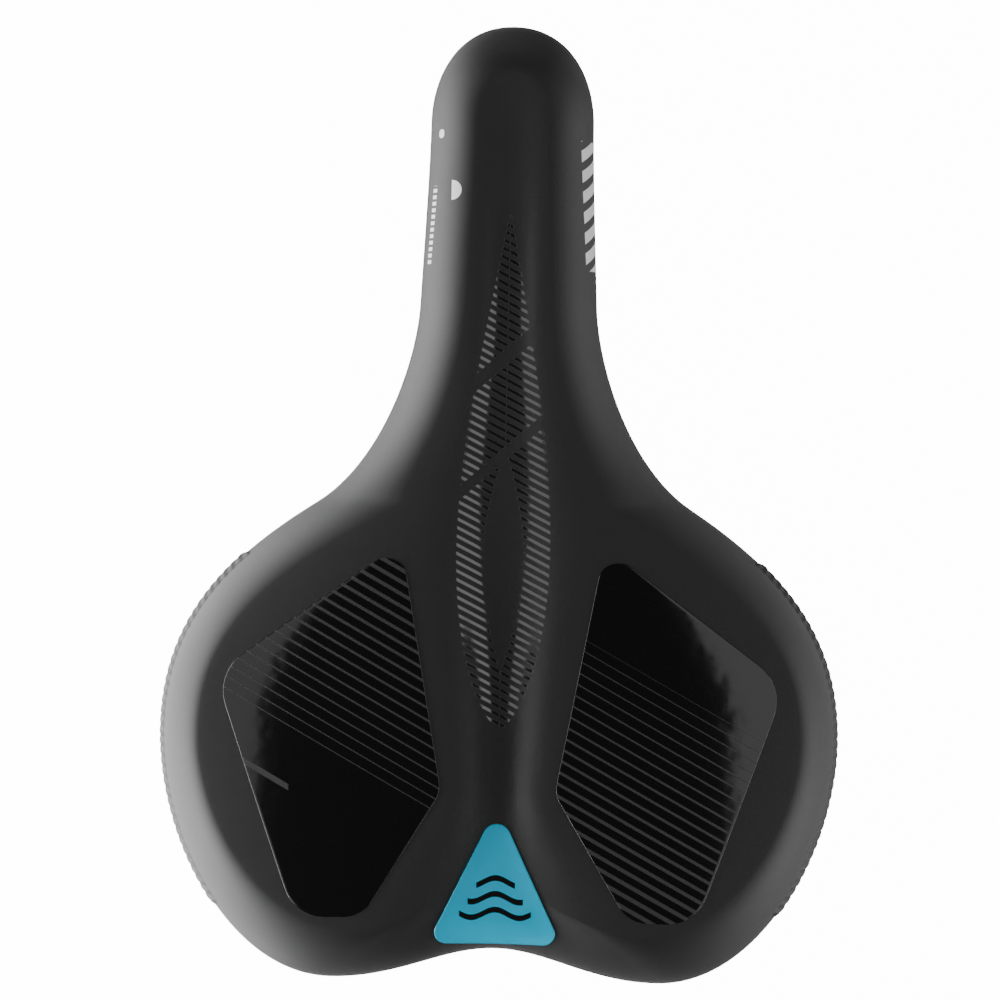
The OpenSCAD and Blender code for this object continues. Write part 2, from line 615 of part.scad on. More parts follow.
module cup_screws() {
    color("#8d9094") for (y = cup_screw_ys) both_sides(elastomer_x) translate([0, y, cup_bottom])
        difference() {
            union() {
                translate([0, 0, -cup_head_h]) cylinder(h = cup_head_h, r = cup_head_r);
                cylinder(h = cup_t + cup_screw_bite, r = cup_screw_r);
            }
            for (a = [0, 90]) rotate([0, 0, a]) translate([-slot_l / 2, -slot_w / 2, -cup_head_h - eps])
                cube([slot_l, slot_w, slot_d]);
        }
}
module bolt_inserts() {
    color("#b08d3c") both_sides(elastomer_x) translate([0, elastomer_y, boss_bottom]) difference() {
        cylinder(h = insert_l, r = insert_r);
        translate([0, 0, -eps]) cylinder(h = insert_l + 2 * eps, r = bolt_d / 2 + thread_gap);
    }
}
washer_top = bridge_top - web_t - stop_gap;
head_h = 3.4;
head_r = bolt_d * 0.85;
bolt_socket_d = 2.4;
bolt_socket_r = 2.3;
module suspension_bolt(side) {
    head = washer_top - washer_t - head_h;
    color("#9a9da1") translate([side * elastomer_x, elastomer_y, head]) difference() {
        union() {
            cylinder(h = head_h, r = head_r);
            cylinder(h = boss_bottom + insert_l - insert_end - head, r = bolt_d / 2);
        }
        hex_socket(0, bolt_socket_d, bolt_socket_r);
    }
}
module bolt_washers() {
    color("#a9acb0") both_sides(elastomer_x) translate([0, elastomer_y, washer_top - washer_t]) difference() {
        cylinder(h = washer_t, r = washer_r);
        translate([0, 0, -eps]) cylinder(h = washer_t + 2 * eps, r = bolt_d / 2 + screw_gap);
    }
}

rail_wire();
rear_bridge();
elastomer(-1);  // elastomer_left
elastomer(1);  // elastomer_right
cover();
side_guard(-1);  // side_guard_left
side_guard(1);  // side_guard_right
gloss_film(-1);  // gloss_film_left
gloss_film(1);  // gloss_film_right
badge();
foam_pad();
memory_pad(-1);  // memory_pad_left
memory_pad(1);  // memory_pad_right
base_shell();
cover_staples();
nose_bracket();
nose_clamp_plate();
nose_screws();
nose_inserts();
elastomer_cup(-1);  // elastomer_cup_left
elastomer_cup(1);  // elastomer_cup_right
cup_screws();
bolt_inserts();
suspension_bolt(-1);  // suspension_bolt_left
suspension_bolt(1);  // suspension_bolt_right
bolt_washers();
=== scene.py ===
"""A padded bicycle saddle on a wire rail frame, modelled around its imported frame.

Lengths in this file are millimetres until a mesh is made, where they become metres. +Y points to the
saddle's nose, +X to the rider's right and +Z up, and the origin lies between the rails at the middle of
their clamp length.
"""
import math

import bmesh
import bpy
import numpy as np
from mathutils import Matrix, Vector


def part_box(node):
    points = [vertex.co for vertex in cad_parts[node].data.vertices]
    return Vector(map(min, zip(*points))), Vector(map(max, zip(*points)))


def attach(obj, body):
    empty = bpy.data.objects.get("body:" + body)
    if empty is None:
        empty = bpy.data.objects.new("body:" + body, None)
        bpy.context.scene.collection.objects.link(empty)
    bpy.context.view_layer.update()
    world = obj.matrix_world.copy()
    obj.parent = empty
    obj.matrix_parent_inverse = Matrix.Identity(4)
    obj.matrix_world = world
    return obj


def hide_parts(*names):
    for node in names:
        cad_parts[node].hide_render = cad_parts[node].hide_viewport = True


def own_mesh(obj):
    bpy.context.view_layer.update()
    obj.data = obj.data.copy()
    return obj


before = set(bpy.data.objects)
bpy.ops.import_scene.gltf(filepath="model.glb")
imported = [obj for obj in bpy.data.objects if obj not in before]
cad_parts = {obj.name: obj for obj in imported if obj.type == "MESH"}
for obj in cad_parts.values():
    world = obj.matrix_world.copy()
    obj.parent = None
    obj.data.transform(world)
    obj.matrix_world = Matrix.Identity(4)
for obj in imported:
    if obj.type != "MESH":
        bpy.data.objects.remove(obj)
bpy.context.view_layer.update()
MM = 0.001


def corner_mm(node, which):
    """The lowest (0) or highest (1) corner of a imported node's box, in millimetres."""
    return np.array(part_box(node)[which], float) / MM


# ---------------------------------------------------------------- sizes
TIP_Y = corner_mm("cover", 1)[1]
REAR_Y = corner_mm("cover", 0)[1]
LENGTH = TIP_Y - REAR_Y
HALF_W = corner_mm("cover", 1)[0]
NOSE_HALF_W = 24.0
WAIST_HALF_W = 26.0
FLARE_HALF_W = 55.0
LOBE_X = 48.0
# How far behind the tip the nose is full, the waist and the middle of the flare lie, and the crossbar
NOSE_BACK = 29.0
WAIST_BACK = 82.0
FLARE_BACK = 141.0
PIVOT_BACK = 36.0
# How far ahead of the rear lobes the saddle is widest, and the notch between them
WING_AHEAD = 72.0
NOTCH_AHEAD = 9.5
# The middle line: its height, its rise to the rear, and its drops at the nose and at the tail
SEAT_H = 64.0
REAR_RISE = 13.0
NOSE_DROP = 3.0
TAIL_DROP = 3.0
# How far the seat falls to the sides, at the nose and at the wings
FALL_NOSE = 2.0
FALL_REAR = 10.0
CHANNEL_NOSE = 1.3
CHANNEL_REAR = 4.6
DIP = 1.0
CROWN = 4.0
COVER_T = 1.2
SIDE_FOAM_T = 1.3
SHELL_T = 2.4
LAYER_GAP = 0.05
FLANGE_D = COVER_T + SIDE_FOAM_T + LAYER_GAP
LIP_D = FLANGE_D + SHELL_T + LAYER_GAP
LIP_H = 6.0
LIP_CLEAR = 0.5
CORNER_R = 5.0
NOSE_DEPTH = 17.0
CUP_ROOM = 0.5

# Knots of the right-hand half outline, from the nose tip round to the notch between the rear lobes
KNOTS = np.array([[0, TIP_Y], [NOSE_HALF_W, TIP_Y - NOSE_BACK], [WAIST_HALF_W, TIP_Y - WAIST_BACK],
                  [FLARE_HALF_W, TIP_Y - FLARE_BACK], [HALF_W, REAR_Y + WING_AHEAD], [LOBE_X, REAR_Y],
                  [0, REAR_Y + NOTCH_AHEAD]])
HEADINGS = np.array([[1, 0], [0, -1], [0.04, -0.9992], [0.842, -0.5397], [0, -1], [-1, 0], [-1, 0]])
# Length of each curve's two handles, as shares of its chord
HANDLES = [(0.43, 0.39), (0.25, 0.25), (0.28, 0.32), (0.38, 0.40), (0.36, 0.34), (0.40, 0.31)]
CURVE_STEPS = [24, 12, 24, 28, 45, 25]
# What changes along the outline, at each knot: the edge's roll inwards and down, the hem's height above the
# rails, and how far the side leans in from the widest line to the hem
ROLL_IN = [15, 13.5, 13.5, 14, 12, 20, 10]
ROLL_DOWN = [18, 16, 16, 18, 21, 19, 13]
# The roll is a superellipse of this power: 2 would be an ellipse, and less gives a firmer shoulder
ROLL_POWER = 1.7
HEM_H = [28, 27, 27, 30, 34, 37, 40]
LEAN = [4, 1.5, 1.5, 3.5, 7, 6, 3]
SPINE_FIRST = CURVE_STEPS[0]
SPINE_LAST = sum(CURVE_STEPS[:4]) + CURVE_STEPS[4] // 3


# ---------------------------------------------------------------- outline and seat surface
def smooth(t):
    """3t^2 - 2t^3 between 0 and 1, and flat outside."""
    t = np.clip(t, 0, 1)
    return t * t * (3 - 2 * t)


def outline():
    """The saddle's edge seen from above, as one record of arrays.

    The right half is six cubic curves. The handles of a curve lie along the headings of its two knots, at
    shares of its chord. Each point's spine point is straight inwards on the middle line, held between the
    row where the nose is full and one in the rear curve. The left half is the right one mirrored.
    """
    edge, tangent, station = [], [], []
    for k, steps in enumerate(CURVE_STEPS):
        a, d = KNOTS[k], KNOTS[k + 1]
        chord = np.linalg.norm(d - a)
        b = a + HEADINGS[k] * chord * HANDLES[k][0]
        c = d - HEADINGS[k + 1] * chord * HANDLES[k][1]
        t = np.arange(steps + (k == len(CURVE_STEPS) - 1))[:, None] / steps
        s = 1 - t
        edge.append(a * s**3 + 3 * b * s * s * t + 3 * c * s * t * t + d * t**3)
        tangent.append((b - a) * s * s + 2 * (c - b) * s * t + (d - c) * t * t)
        station.append(k + smooth(t[:, 0]))
    edge, tangent, station = np.concatenate(edge), np.concatenate(tangent), np.concatenate(station)
    tangent /= np.linalg.norm(tangent, axis=1)[:, None]
    out = np.stack([-tangent[:, 1], tangent[:, 0]], 1)
    row = np.clip(np.arange(len(edge)), SPINE_FIRST, SPINE_LAST)
    spine = np.stack([np.zeros(len(edge)), edge[row, 1]], 1)
    mirrored = np.arange(len(edge) - 2, 0, -1)
    flip = np.array([-1, 1])
    rim = {
        "edge": np.concatenate([edge, edge[mirrored] * flip]),
        "out": np.concatenate([out, out[mirrored] * flip]),
        "spine": np.concatenate([spine, spine[mirrored]]),
    }
    knots = np.arange(len(KNOTS))
    for name, values in (("roll_in", ROLL_IN), ("roll_down", ROLL_DOWN), ("hem", HEM_H), ("lean", LEAN)):
        right = np.interp(station, knots, values)
        rim[name] = np.concatenate([right, right[mirrored]])
    across = rim["edge"] - rim["spine"]
    rim["reach"] = np.linalg.norm(across, axis=1)
    rim["depth"] = (across * rim["out"]).sum(1)
    rim["half"] = len(edge)
    return rim


RIM = outline()


def behind(y):
    """How far y lies behind the tip, as a share of the saddle's length."""
    return (TIP_Y - y) / LENGTH


def row_width(y):
    """Half the saddle's width near a row, as one smooth step from the nose to the wings."""
    return NOSE_HALF_W + (HALF_W - NOSE_HALF_W) * smooth((behind(y) - 0.38) / 0.34)


def profile(y):
    """Height of the middle line: level, rising to the rear, with a slightly lower nose and tail."""
    b = behind(y)
    return (SEAT_H + REAR_RISE * smooth((b - 0.4) / 0.45) - NOSE_DROP * (1 - smooth(b / 0.35))
            - TAIL_DROP * smooth((b - 0.86) / 0.14))


def channel(x, y):
    """Depth of the centre channel: a flat-bottomed bell across, shallow at the nose and deep at the rear, and
    a steeper-sided hollow DIP deep along its middle, exp(-(x / w)^4) across."""
    b = behind(y)
    deepening = (CHANNEL_REAR - CHANNEL_NOSE) * smooth((b - 0.35) / 0.4)
    depth = smooth((b - 0.03) / 0.1) * (CHANNEL_NOSE + deepening)
    width = 7 + 7 * np.exp(-((b - 0.53) / 0.15) ** 2) + 15 * smooth((b - 0.79) / 0.17)
    dip = DIP * smooth((b - 0.15) / 0.1) * (1 - smooth((b - 0.74) / 0.12))
    dip_width = 6.5 + 5 * smooth((b - 0.3) / 0.25)
    return depth * np.exp(-(np.abs(x) / width) ** 2.6) + dip * np.exp(-(np.abs(x) / dip_width) ** 4)


def seat_z(x, y):
    """Height of the seat inside the edge's roll: the profile, less a fall to the sides, less the channel."""
    fall = FALL_NOSE + (FALL_REAR - FALL_NOSE) * smooth((behind(y) - 0.38) / 0.3)
    return profile(y) - fall * (np.abs(x) / row_width(y)) ** 3 - channel(x, y)


def crown(x, y):
    """How far the shell's plate falls to the sides, with the square of the way out."""
    return CROWN * (x / row_width(y)) ** 2


EL_LOW, EL_TOP = (corner_mm("elastomer_right", k)[2] for k in (0, 1))
EL_X, EL_Y = ((corner_mm("elastomer_right", 0) + corner_mm("elastomer_right", 1)) / 2)[:2]
EL_R = (corner_mm("elastomer_right", 1) - corner_mm("elastomer_right", 0))[0] / 2
CUP_TOP = corner_mm("elastomer_cup_right", 1)[2]
CUP_ENDS = np.array([corner_mm("elastomer_cup_right", k)[1] for k in (0, 1)])
PAD_DEPTH = (profile(CUP_ENDS) - crown(EL_X, CUP_ENDS)).min() - SHELL_T - CUP_TOP - CUP_ROOM


def plate_z(x, y):
    """Top of the shell's plate: the profile, less a depth that grows to the sit pads, less the crown."""
    drop = NOSE_DEPTH + (PAD_DEPTH - NOSE_DEPTH) * smooth((behind(y) - 0.3) / 0.4)
    return profile(y) - drop - crown(x, y)


def at_share(share):
    """Plan points at a share of the way from spine to edge, one for each point of the rim."""
    return RIM["spine"] + (RIM["edge"] - RIM["spine"]) * np.asarray(share)[..., None]


def inward(d):
    """Plan points at depth d inwards from the edge."""
    return at_share(1 - d / RIM["depth"])


def with_z(plan, z):
    """Plan points with a height added to each."""
    return np.concatenate([plan, np.broadcast_to(z, plan.shape[:-1])[..., None]], -1)


def flat_rows(offset, count):
    """Rows from the spine to where the edge's roll starts, offset below the seat."""
    full = 1 - RIM["roll_in"] / RIM["depth"]
    plan = at_share(np.linspace(0, 1, count)[:, None] * full)
    return with_z(plan, seat_z(plan[..., 0], plan[..., 1]) - offset)


def roll_rows(offset, angles):
    """The edge's roll: a quarter of a superellipse, from level at 0 degrees to upright at 90.

    Its run is 1 - sin(a)^(2/p) of the roll's width and its drop 1 - cos(a)^(2/p) of the roll's height.
    """
    a = np.radians(np.asarray(angles, float))[:, None]
    plan = inward(offset + (RIM["roll_in"] - offset) * (1 - np.sin(a) ** (2 / ROLL_POWER)))
    drop = (RIM["roll_down"] - offset) * (1 - np.clip(np.cos(a), 0, 1) ** (2 / ROLL_POWER))
    return with_z(plan, seat_z(plan[..., 0], plan[..., 1]) - offset - drop)


def rim_z(offset=0.0):
    """Height at which the roll is upright."""
    plan = inward(offset)
    return seat_z(plan[..., 0], plan[..., 1]) - RIM["roll_down"]


def leaned(z):
    """How far the side has leaned in at height z: it grows with the square of the way to the hem."""
    top = rim_z()
    return RIM["lean"] * np.clip((top - z) / (top - RIM["hem"] - COVER_T), 0, None) ** 2


def side_rows(offset, shares):
    """The side, from the roll's foot down towards the hem."""
    v = np.asarray(shares, float)[:, None]
    top = rim_z(offset)
    z = top - v * (top - RIM["hem"] - COVER_T)
    return with_z(inward(offset + RIM["lean"] * v * v), z)


def rim_row(d, z):
    """One row round the whole rim, at depth d inwards and height z."""
    return with_z(inward(d), z)[None]


def lip_z():
    """Top of the cover's lip, which stays below the shell's corner."""
    base = inward(FLANGE_D + CORNER_R)
    return np.minimum(RIM["hem"] + LIP_H, plate_z(base[:, 0], base[:, 1]) - CORNER_R - LIP_CLEAR)


def surface_z(x, y):
    """Height of the cover's outer face above a plan point.

    The point's share of the way from spine to edge gives its depth inside the edge, and the seat's height
    drops by the roll's superellipse where that depth is less than the roll. The way out is straight across
    between the spine's two ends, and a ray from the nearer end beyond them.
    """
    x, y = np.abs(x), np.asarray(y, float)
    half = RIM["half"]
    edge, spine = RIM["edge"][:half], RIM["spine"][:half]
    first, last = spine[0, 1], spine[half - 1, 1]
    centre = np.clip(y, last, first)
    distance = np.hypot(x, y - centre)
    turn = np.arctan2(y - centre, x)
    turns = np.arctan2(edge[:, 1] - spine[:, 1], edge[:, 0] - spine[:, 0])
    middle = slice(SPINE_FIRST, SPINE_LAST + 1)

    def look_up(values):
        """The rim's values on the way out through each point."""
        across = np.interp(-y, -edge[middle, 1], values[middle])
        front = np.interp(-turn, -turns[:SPINE_FIRST + 1], values[:SPINE_FIRST + 1])
        rear = np.interp(-turn, -turns[SPINE_LAST:half], values[SPINE_LAST:half])
        return np.where(y > first, front, np.where(y < last, rear, across))

    reach, depth = look_up(RIM["reach"][:half]), look_up(RIM["depth"][:half])
    roll_in, roll_down = look_up(RIM["roll_in"][:half]), look_up(RIM["roll_down"][:half])
    inside = depth * (1 - distance / reach)
    t = np.clip(1 - inside / roll_in, 0, 0.999)
    return seat_z(x, y) - roll_down * (1 - (1 - t**ROLL_POWER) ** (1 / ROLL_POWER))


# ---------------------------------------------------------------- mesh helpers
def quads(rows, columns, closed):
    """Faces of a grid of points in row order; a closed grid joins its last column to its first."""
    i = np.arange(rows - 1)[:, None]
    j = np.arange(columns if closed else columns - 1)[None]
    k = (j + 1) % columns
    return np.stack([i * columns + j, i * columns + k, (i + 1) * columns + k,
                     (i + 1) * columns + j], -1).reshape(-1, 4)


# Points of a worked-out mesh closer than this are one, in metres
MERGE = 2e-6


def mesh_piece(name, parts, body, material, replaced, smooth_angle=40):
    """One piece from several grids of points, each given as (points, closed).

    Points that meet are merged, so poles and seams close, and the faces are turned outwards.
    """
    points, faces, start = [], [], 0
    for grid, closed in parts:
        rows, columns = grid.shape[:2]
        points.append(grid.reshape(-1, 3))
        faces.append(quads(rows, columns, closed) + start)
        start += rows * columns
    points, faces = np.concatenate(points) * MM, np.concatenate(faces)
    mesh = bpy.data.meshes.new(name)
    mesh.from_pydata(points.tolist(), [], faces.tolist())
    work = bmesh.new()
    work.from_mesh(mesh)
    bmesh.ops.remove_doubles(work, verts=work.verts, dist=MERGE)
    bmesh.ops.dissolve_degenerate(work, edges=work.edges, dist=MERGE / 2)
    bmesh.ops.recalc_face_normals(work, faces=work.faces)
    work.to_mesh(mesh)
    work.free()
    return set_out(name, mesh, body, material, replaced, smooth_angle)


def set_out(name, mesh, body, material, replaced, smooth_angle):
    """Shades a mesh and puts it on its body, in place of the nodes that it stands for."""
    mesh.shade_smooth()
    mesh.set_sharp_from_angle(angle=math.radians(smooth_angle))
    mesh.materials.append(material)
    piece = bpy.data.objects.new(name, mesh)
    bpy.context.collection.objects.link(piece)
    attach(piece, body)
    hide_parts(*replaced)
    return piece


def revolve(profile_rz, centre, columns=96):
    """A profile of (radius, height) carried round the upright axis through centre."""
    r, z = np.array(profile_rz, float).T
    a = np.linspace(0, 2 * np.pi, columns, endpoint=False)
    ring = np.stack([np.cos(a), np.sin(a)], -1)
    points = np.zeros((len(r), columns, 3))
    points[..., :2] = r[:, None, None] * ring
    points[..., 2] = z[:, None]
    return points + np.asarray(centre, float), True


def rounded(points, radii, steps=10):
    """A closed outline with each corner replaced by an arc of its radius."""
    points = np.array(points, float)
    before, after = np.roll(points, 1, 0), np.roll(points, -1, 0)
    out = []
    for p, a, b, r in zip(points, before, after, radii):
        u, v = (a - p) / np.linalg.norm(a - p), (b - p) / np.linalg.norm(b - p)
        half = math.acos(float(np.clip(u @ v, -1, 1))) / 2
        bisector = (u + v) / np.linalg.norm(u + v)
        centre = p + bisector * r / math.sin(half)
        first = p + u * r / math.tan(half) - centre
        sweep = np.pi - 2 * half
        sign = np.sign(u[0] * v[1] - u[1] * v[0])
        t = -sign * np.linspace(0, sweep, steps)
        turn = np.stack([np.stack([np.cos(t), -np.sin(t)], -1), np.stack([np.sin(t), np.cos(t)], -1)], 1)
        out.append(centre + turn @ first)
    return np.concatenate(out)


def evened(points, spacing):
    """The same closed outline with points added so that none are further apart than spacing."""
    closed = np.vstack([points, points[:1]])
    steps = np.maximum(1, np.ceil(np.linalg.norm(np.diff(closed, axis=0), axis=1) / spacing)).astype(int)
    return np.concatenate([a + (b - a) * (np.arange(n) / n)[:, None]
                           for a, b, n in zip(closed[:-1], closed[1:], steps)])


def moved_in(plan, inset):
    """The outline moved inwards by inset, square to itself."""
    ahead = np.roll(plan, -1, 0) - np.roll(plan, 1, 0)
    ahead /= np.linalg.norm(ahead, axis=1)[:, None]
    area = (plan[:, 0] * np.roll(plan[:, 1], -1) - np.roll(plan[:, 0], -1) * plan[:, 1]).sum()
    return plan + np.stack([-ahead[:, 1], ahead[:, 0]], 1) * inset * np.sign(area)


def laid_patch(plan, height, dome, edge, sunk, rows=40):
    """A patch of an outline laid on the cover.

    Rows run from the middle to the outline. Its face stands height above the cover, rises by dome to the
    middle as 1 - s^2, rounds over at the edge with radius edge, and its back lies sunk below the cover.
    """
    rim = moved_in(plan, edge)
    centre = rim.mean(0)
    s = np.linspace(0, 1, rows)
    face = centre + (rim - centre) * s[:, None, None]
    lift = np.broadcast_to((height + dome * (1 - s * s))[:, None], face.shape[:2])
    a = np.radians([22.5, 45, 67.5, 90])
    turned = np.stack([moved_in(plan, edge * (1 - math.sin(t))) for t in a])
    turned_lift = np.broadcast_to((height - edge * (1 - np.cos(a)))[:, None], turned.shape[:2])
    back = np.concatenate([plan[None], face[::-1]])
    flat = np.concatenate([face, turned, back])
    lift = np.concatenate([lift, turned_lift, np.full(back.shape[:2], -sunk)])
    return with_z(flat, surface_z(flat[..., 0], flat[..., 1]) + lift), True


def tube(path, radius, sides):
    """A round tube: a ring square to the path at each of its points, held upright by the Z axis."""
    path = np.array(path, float)
    along = np.gradient(path, axis=0)
    along /= np.linalg.norm(along, axis=1)[:, None]
    level = np.cross([0, 0, 1], along)
    level /= np.linalg.norm(level, axis=1)[:, None]
    up = np.cross(along, level)
    a = np.linspace(0, 2 * np.pi, sides, endpoint=False)[None, :, None]
    rings = path[:, None] + radius * (np.cos(a) * level[:, None] + np.sin(a) * up[:, None])
    caps = [np.broadcast_to(path[k], rings[:1].shape) for k in (0, -1)]
    return np.concatenate([caps[0], rings, caps[1]]), True


def straight_run(start, end, stride=4.0):
    """Points from just past start to end, in equal steps of about a stride."""
    gap = end - start
    steps = max(1, int(np.linalg.norm(gap) / stride))
    return start + gap * (np.arange(1, steps + 1) / steps)[:, None]


def round_route(corners, radii, spacing=0.7):
    """Points along a wire bent round at its corners, each bend an arc of its own radius."""
    corners = [np.array(c, float) for c in corners]
    out = [corners[0]]
    for before, p, after, r in zip(corners[:-2], corners[1:-1], corners[2:], radii):
        u, v = (before - p) / np.linalg.norm(before - p), (after - p) / np.linalg.norm(after - p)
        half = math.acos(float(np.clip(u @ v, -1, 1))) / 2
        centre = p + (u + v) / np.linalg.norm(u + v) * r / math.sin(half)
        first = p + u * r / math.tan(half) - centre
        last = p + v * r / math.tan(half) - centre
        sweep = np.pi - 2 * half
        count = max(4, int(r * sweep / spacing))
        t = np.linspace(0, 1, count)[:, None]
        out += list(straight_run(out[-1], first + centre)[:-1])
        out += list(centre + (first * np.sin((1 - t) * sweep) + last * np.sin(t * sweep)) / np.sin(sweep))
    out += list(straight_run(out[-1], corners[-1]))
    return np.array(out)


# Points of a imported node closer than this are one, in metres, faces turned less than this are one face, and
# edges turned more than this, in degrees, are sharp
NODE_MERGE = 1e-6
FLAT_ANGLE = math.radians(0.5)
SHARP_ANGLE = 35


def finished_copy(node, body, material, bevel=0.0):
    """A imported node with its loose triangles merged, its flat faces joined and its edges rounded."""
    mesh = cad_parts[node].data.copy()
    mesh.materials.clear()
    work = bmesh.new()
    work.from_mesh(mesh)
    bmesh.ops.remove_doubles(work, verts=work.verts, dist=NODE_MERGE)
    bmesh.ops.dissolve_limit(work, angle_limit=FLAT_ANGLE, verts=work.verts, edges=work.edges)
    work.to_mesh(mesh)
    work.free()
    piece = set_out(node + "_finished", mesh, body, material, [node], SHARP_ANGLE)
    if bevel:
        rounding = piece.modifiers.new("rounded edges", "BEVEL")
        rounding.width = bevel * MM
        rounding.segments = 3
        rounding.limit_method = "ANGLE"
        rounding.angle_limit = math.radians(SHARP_ANGLE)
        rounding.harden_normals = False
    return piece


# ---------------------------------------------------------------- materials
class Value:
    """One output of a material's nodes. Sums, products and the like add Math nodes."""

    def __init__(self, paint, socket):
        self.paint, self.socket = paint, socket

    def math(self, operation, *others, clamp=False):
        """One Math node on this value and the others."""
        settings = {"operation": operation, "use_clamp": clamp}
        return self.paint.node("ShaderNodeMath", settings, dict(enumerate((self, *others))))

    def __add__(self, other):
        return self.math("ADD", other)

    def __sub__(self, other):
        return self.math("SUBTRACT", other)

    def __mul__(self, other):
        return self.math("MULTIPLY", other)

    def __truediv__(self, other):
        return self.math("DIVIDE", other)

    __radd__, __rmul__ = __add__, __mul__

    def __rsub__(self, other):
        return self.paint.node("ShaderNodeMath", {"operation": "SUBTRACT"}, {0: other, 1: self})

    def __abs__(self):
        return self.math("ABSOLUTE")

    def __neg__(self):
        return 0 - self

    def held(self):
        """The value held between 0 and 1."""
        return self.math("ADD", 0.0, clamp=True)


class Paint:
    """A node material with its surface shader, whose even values are set on the shader's own sockets."""

    def __init__(self, name, **even):
        self.material = bpy.data.materials.new(name)
        self.material.use_nodes = True
        self.tree = self.material.node_tree
        self.surface = self.tree.nodes["Principled BSDF"]
        for socket, value in even.items():
            self.surface.inputs[socket.replace("_", " ")].default_value = value

    def node(self, kind, settings=None, inputs=None, output=0):
        """Adds a node: its settings first, then each socket's value or link."""
        made = self.tree.nodes.new(kind)
        for name, value in (settings or {}).items():
            setattr(made, name, value)
        for name, value in (inputs or {}).items():
            if isinstance(value, Value):
                self.tree.links.new(value.socket, made.inputs[name])
            else:
                made.inputs[name].default_value = value
        return Value(self, made.outputs[output])

    def feed(self, **varying):
        """Links values that change over the surface to the shader's sockets."""
        for socket, value in varying.items():
            self.tree.links.new(value.socket, self.surface.inputs[socket.replace("_", " ")])
        return self

    def place(self):
        """Object coordinates in millimetres, as a vector and as its three parts."""
        vector = self.node("ShaderNodeTexCoord", output="Object")
        vector = self.node("ShaderNodeVectorMath", {"operation": "SCALE"}, {0: vector, "Scale": 1 / MM})
        parts = [self.node("ShaderNodeSeparateXYZ", None, {0: vector}, i) for i in range(3)]
        return vector, *parts

    def noise(self, vector, scale, detail):
        """Soft noise, with scale features to the millimetre."""
        return self.node("ShaderNodeTexNoise", None, {"Vector": vector, "Scale": scale, "Detail": detail})

    def cells(self, vector, scale):
        """Distance from the nearest of scattered points, scale of them to the millimetre."""
        return self.node("ShaderNodeTexVoronoi", None, {"Vector": vector, "Scale": scale})

    def between(self, factor, low, high):
        """A colour between two, by factor."""
        return self.node("ShaderNodeMix", {"data_type": "RGBA"}, {0: factor, 6: low, 7: high}, 2)

    def bump(self, height, distance):
        """A normal raised by height, where 1 stands for distance millimetres."""
        return self.node("ShaderNodeBump", None, {"Height": height, "Distance": distance * MM})


def grey(level):
    """An even grey."""
    return (level, level, level, 1)


def tinted(colour, level):
    """A colour at a level of itself."""
    return (*(level * c for c in colour), 1)


def below(value, limit, soft):
    """1 where value is below limit, 0 above, with an edge soft wide."""
    return ((limit - value) / soft + 0.5).held()


def within(value, low, high, soft):
    """1 where value is between low and high."""
    return below(value, high, soft) * below(-value, -low, soft)


def disc(a, b, centre, radius, soft):
    """1 within a radius of a centre, on the two coordinates given."""
    off_a, off_b = a - centre[0], b - centre[1]
    return below((off_a * off_a + off_b * off_b).math("SQRT"), radius, soft)


def hump(share):
    """Half a sine wave over a share from 0 to 1."""
    return (share * math.pi).math("SINE")


def lines(value, pitch, half_width, soft):
    """Lines across value, a pitch apart, each half_width to either side."""
    off = abs(value.math("WRAP", pitch / 2, -pitch / 2))
    return below(off, half_width, soft)


def plastic(name, base, grain=1.6, depth=0.02, rough=0.5, spread=0.25, **even):
    """Moulded plastic, rubber or powder coat: fine pebble grain, with slow changes of tone and sheen."""
    paint = Paint(name, **even)
    vector, *_ = paint.place()
    slow = paint.noise(vector, 0.02, 3.0)
    tone = paint.between(slow, grey(base * (1 - spread)), grey(base * (1 + spread)))
    pebble = paint.cells(vector, grain) * 0.6 + paint.noise(vector, grain * 1.7, 3.0) * 0.4
    return paint.feed(Base_Color=tone, Roughness=rough + (slow - 0.5) * 0.12,
                      Normal=paint.bump(pebble, depth)).material


def metal(name, colour, rough, stretch):
    """Plated metal: fine marks drawn out round the upright axis, and slightly uneven roughness."""
    paint = Paint(name, Metallic=1.0)
    vector, *_ = paint.place()
    drawn = paint.node("ShaderNodeMapping", None, {"Vector": vector, "Scale": stretch})
    marks = paint.noise(drawn, 1.0, 4.0)
    tone = paint.between(marks, tinted(colour, 0.75), tinted(colour, 1))
    return paint.feed(Base_Color=tone, Roughness=rough + (marks - 0.5) * 0.2,
                      Normal=paint.bump(marks, 0.01)).material


def foam(name, colour):
    """Open-cell foam: round cells of two sizes."""
    paint = Paint(name, Roughness=0.9)
    vector, *_ = paint.place()
    cells = paint.cells(vector, 1.4) * 0.6 + paint.cells(vector, 3.1) * 0.4
    tone = paint.between(cells, tinted(colour, 0.6), tinted(colour, 1))
    return paint.feed(Base_Color=tone, Normal=paint.bump(cells, 0.3)).material


# The print down the channel is a leaf: its rear end, length, half width, and the power that moves its
# broadest row to the rear. Its rear part has a plain hollow along the middle.
LEAF_REAR = -54
LEAF_L = 151
LEAF_HALF_W = 13.6
LEAF_SKEW = 0.65
HOLLOW_REAR = -38
HOLLOW_L = 66
HOLLOW_HALF_W = 6.0
# The leaf's lines, and the slanted plain bands across it
HATCH_SLOPE = 0.5
HATCH_PITCH = 2.5
HATCH_HALF_W = 0.5
BAND_SLOPE = -0.9
BANDS = [(52, 57), (24, 28)]
MATTE = (0.016, 0.020)
PRINT_TONE = 0.2
MARK_TONE = 0.8


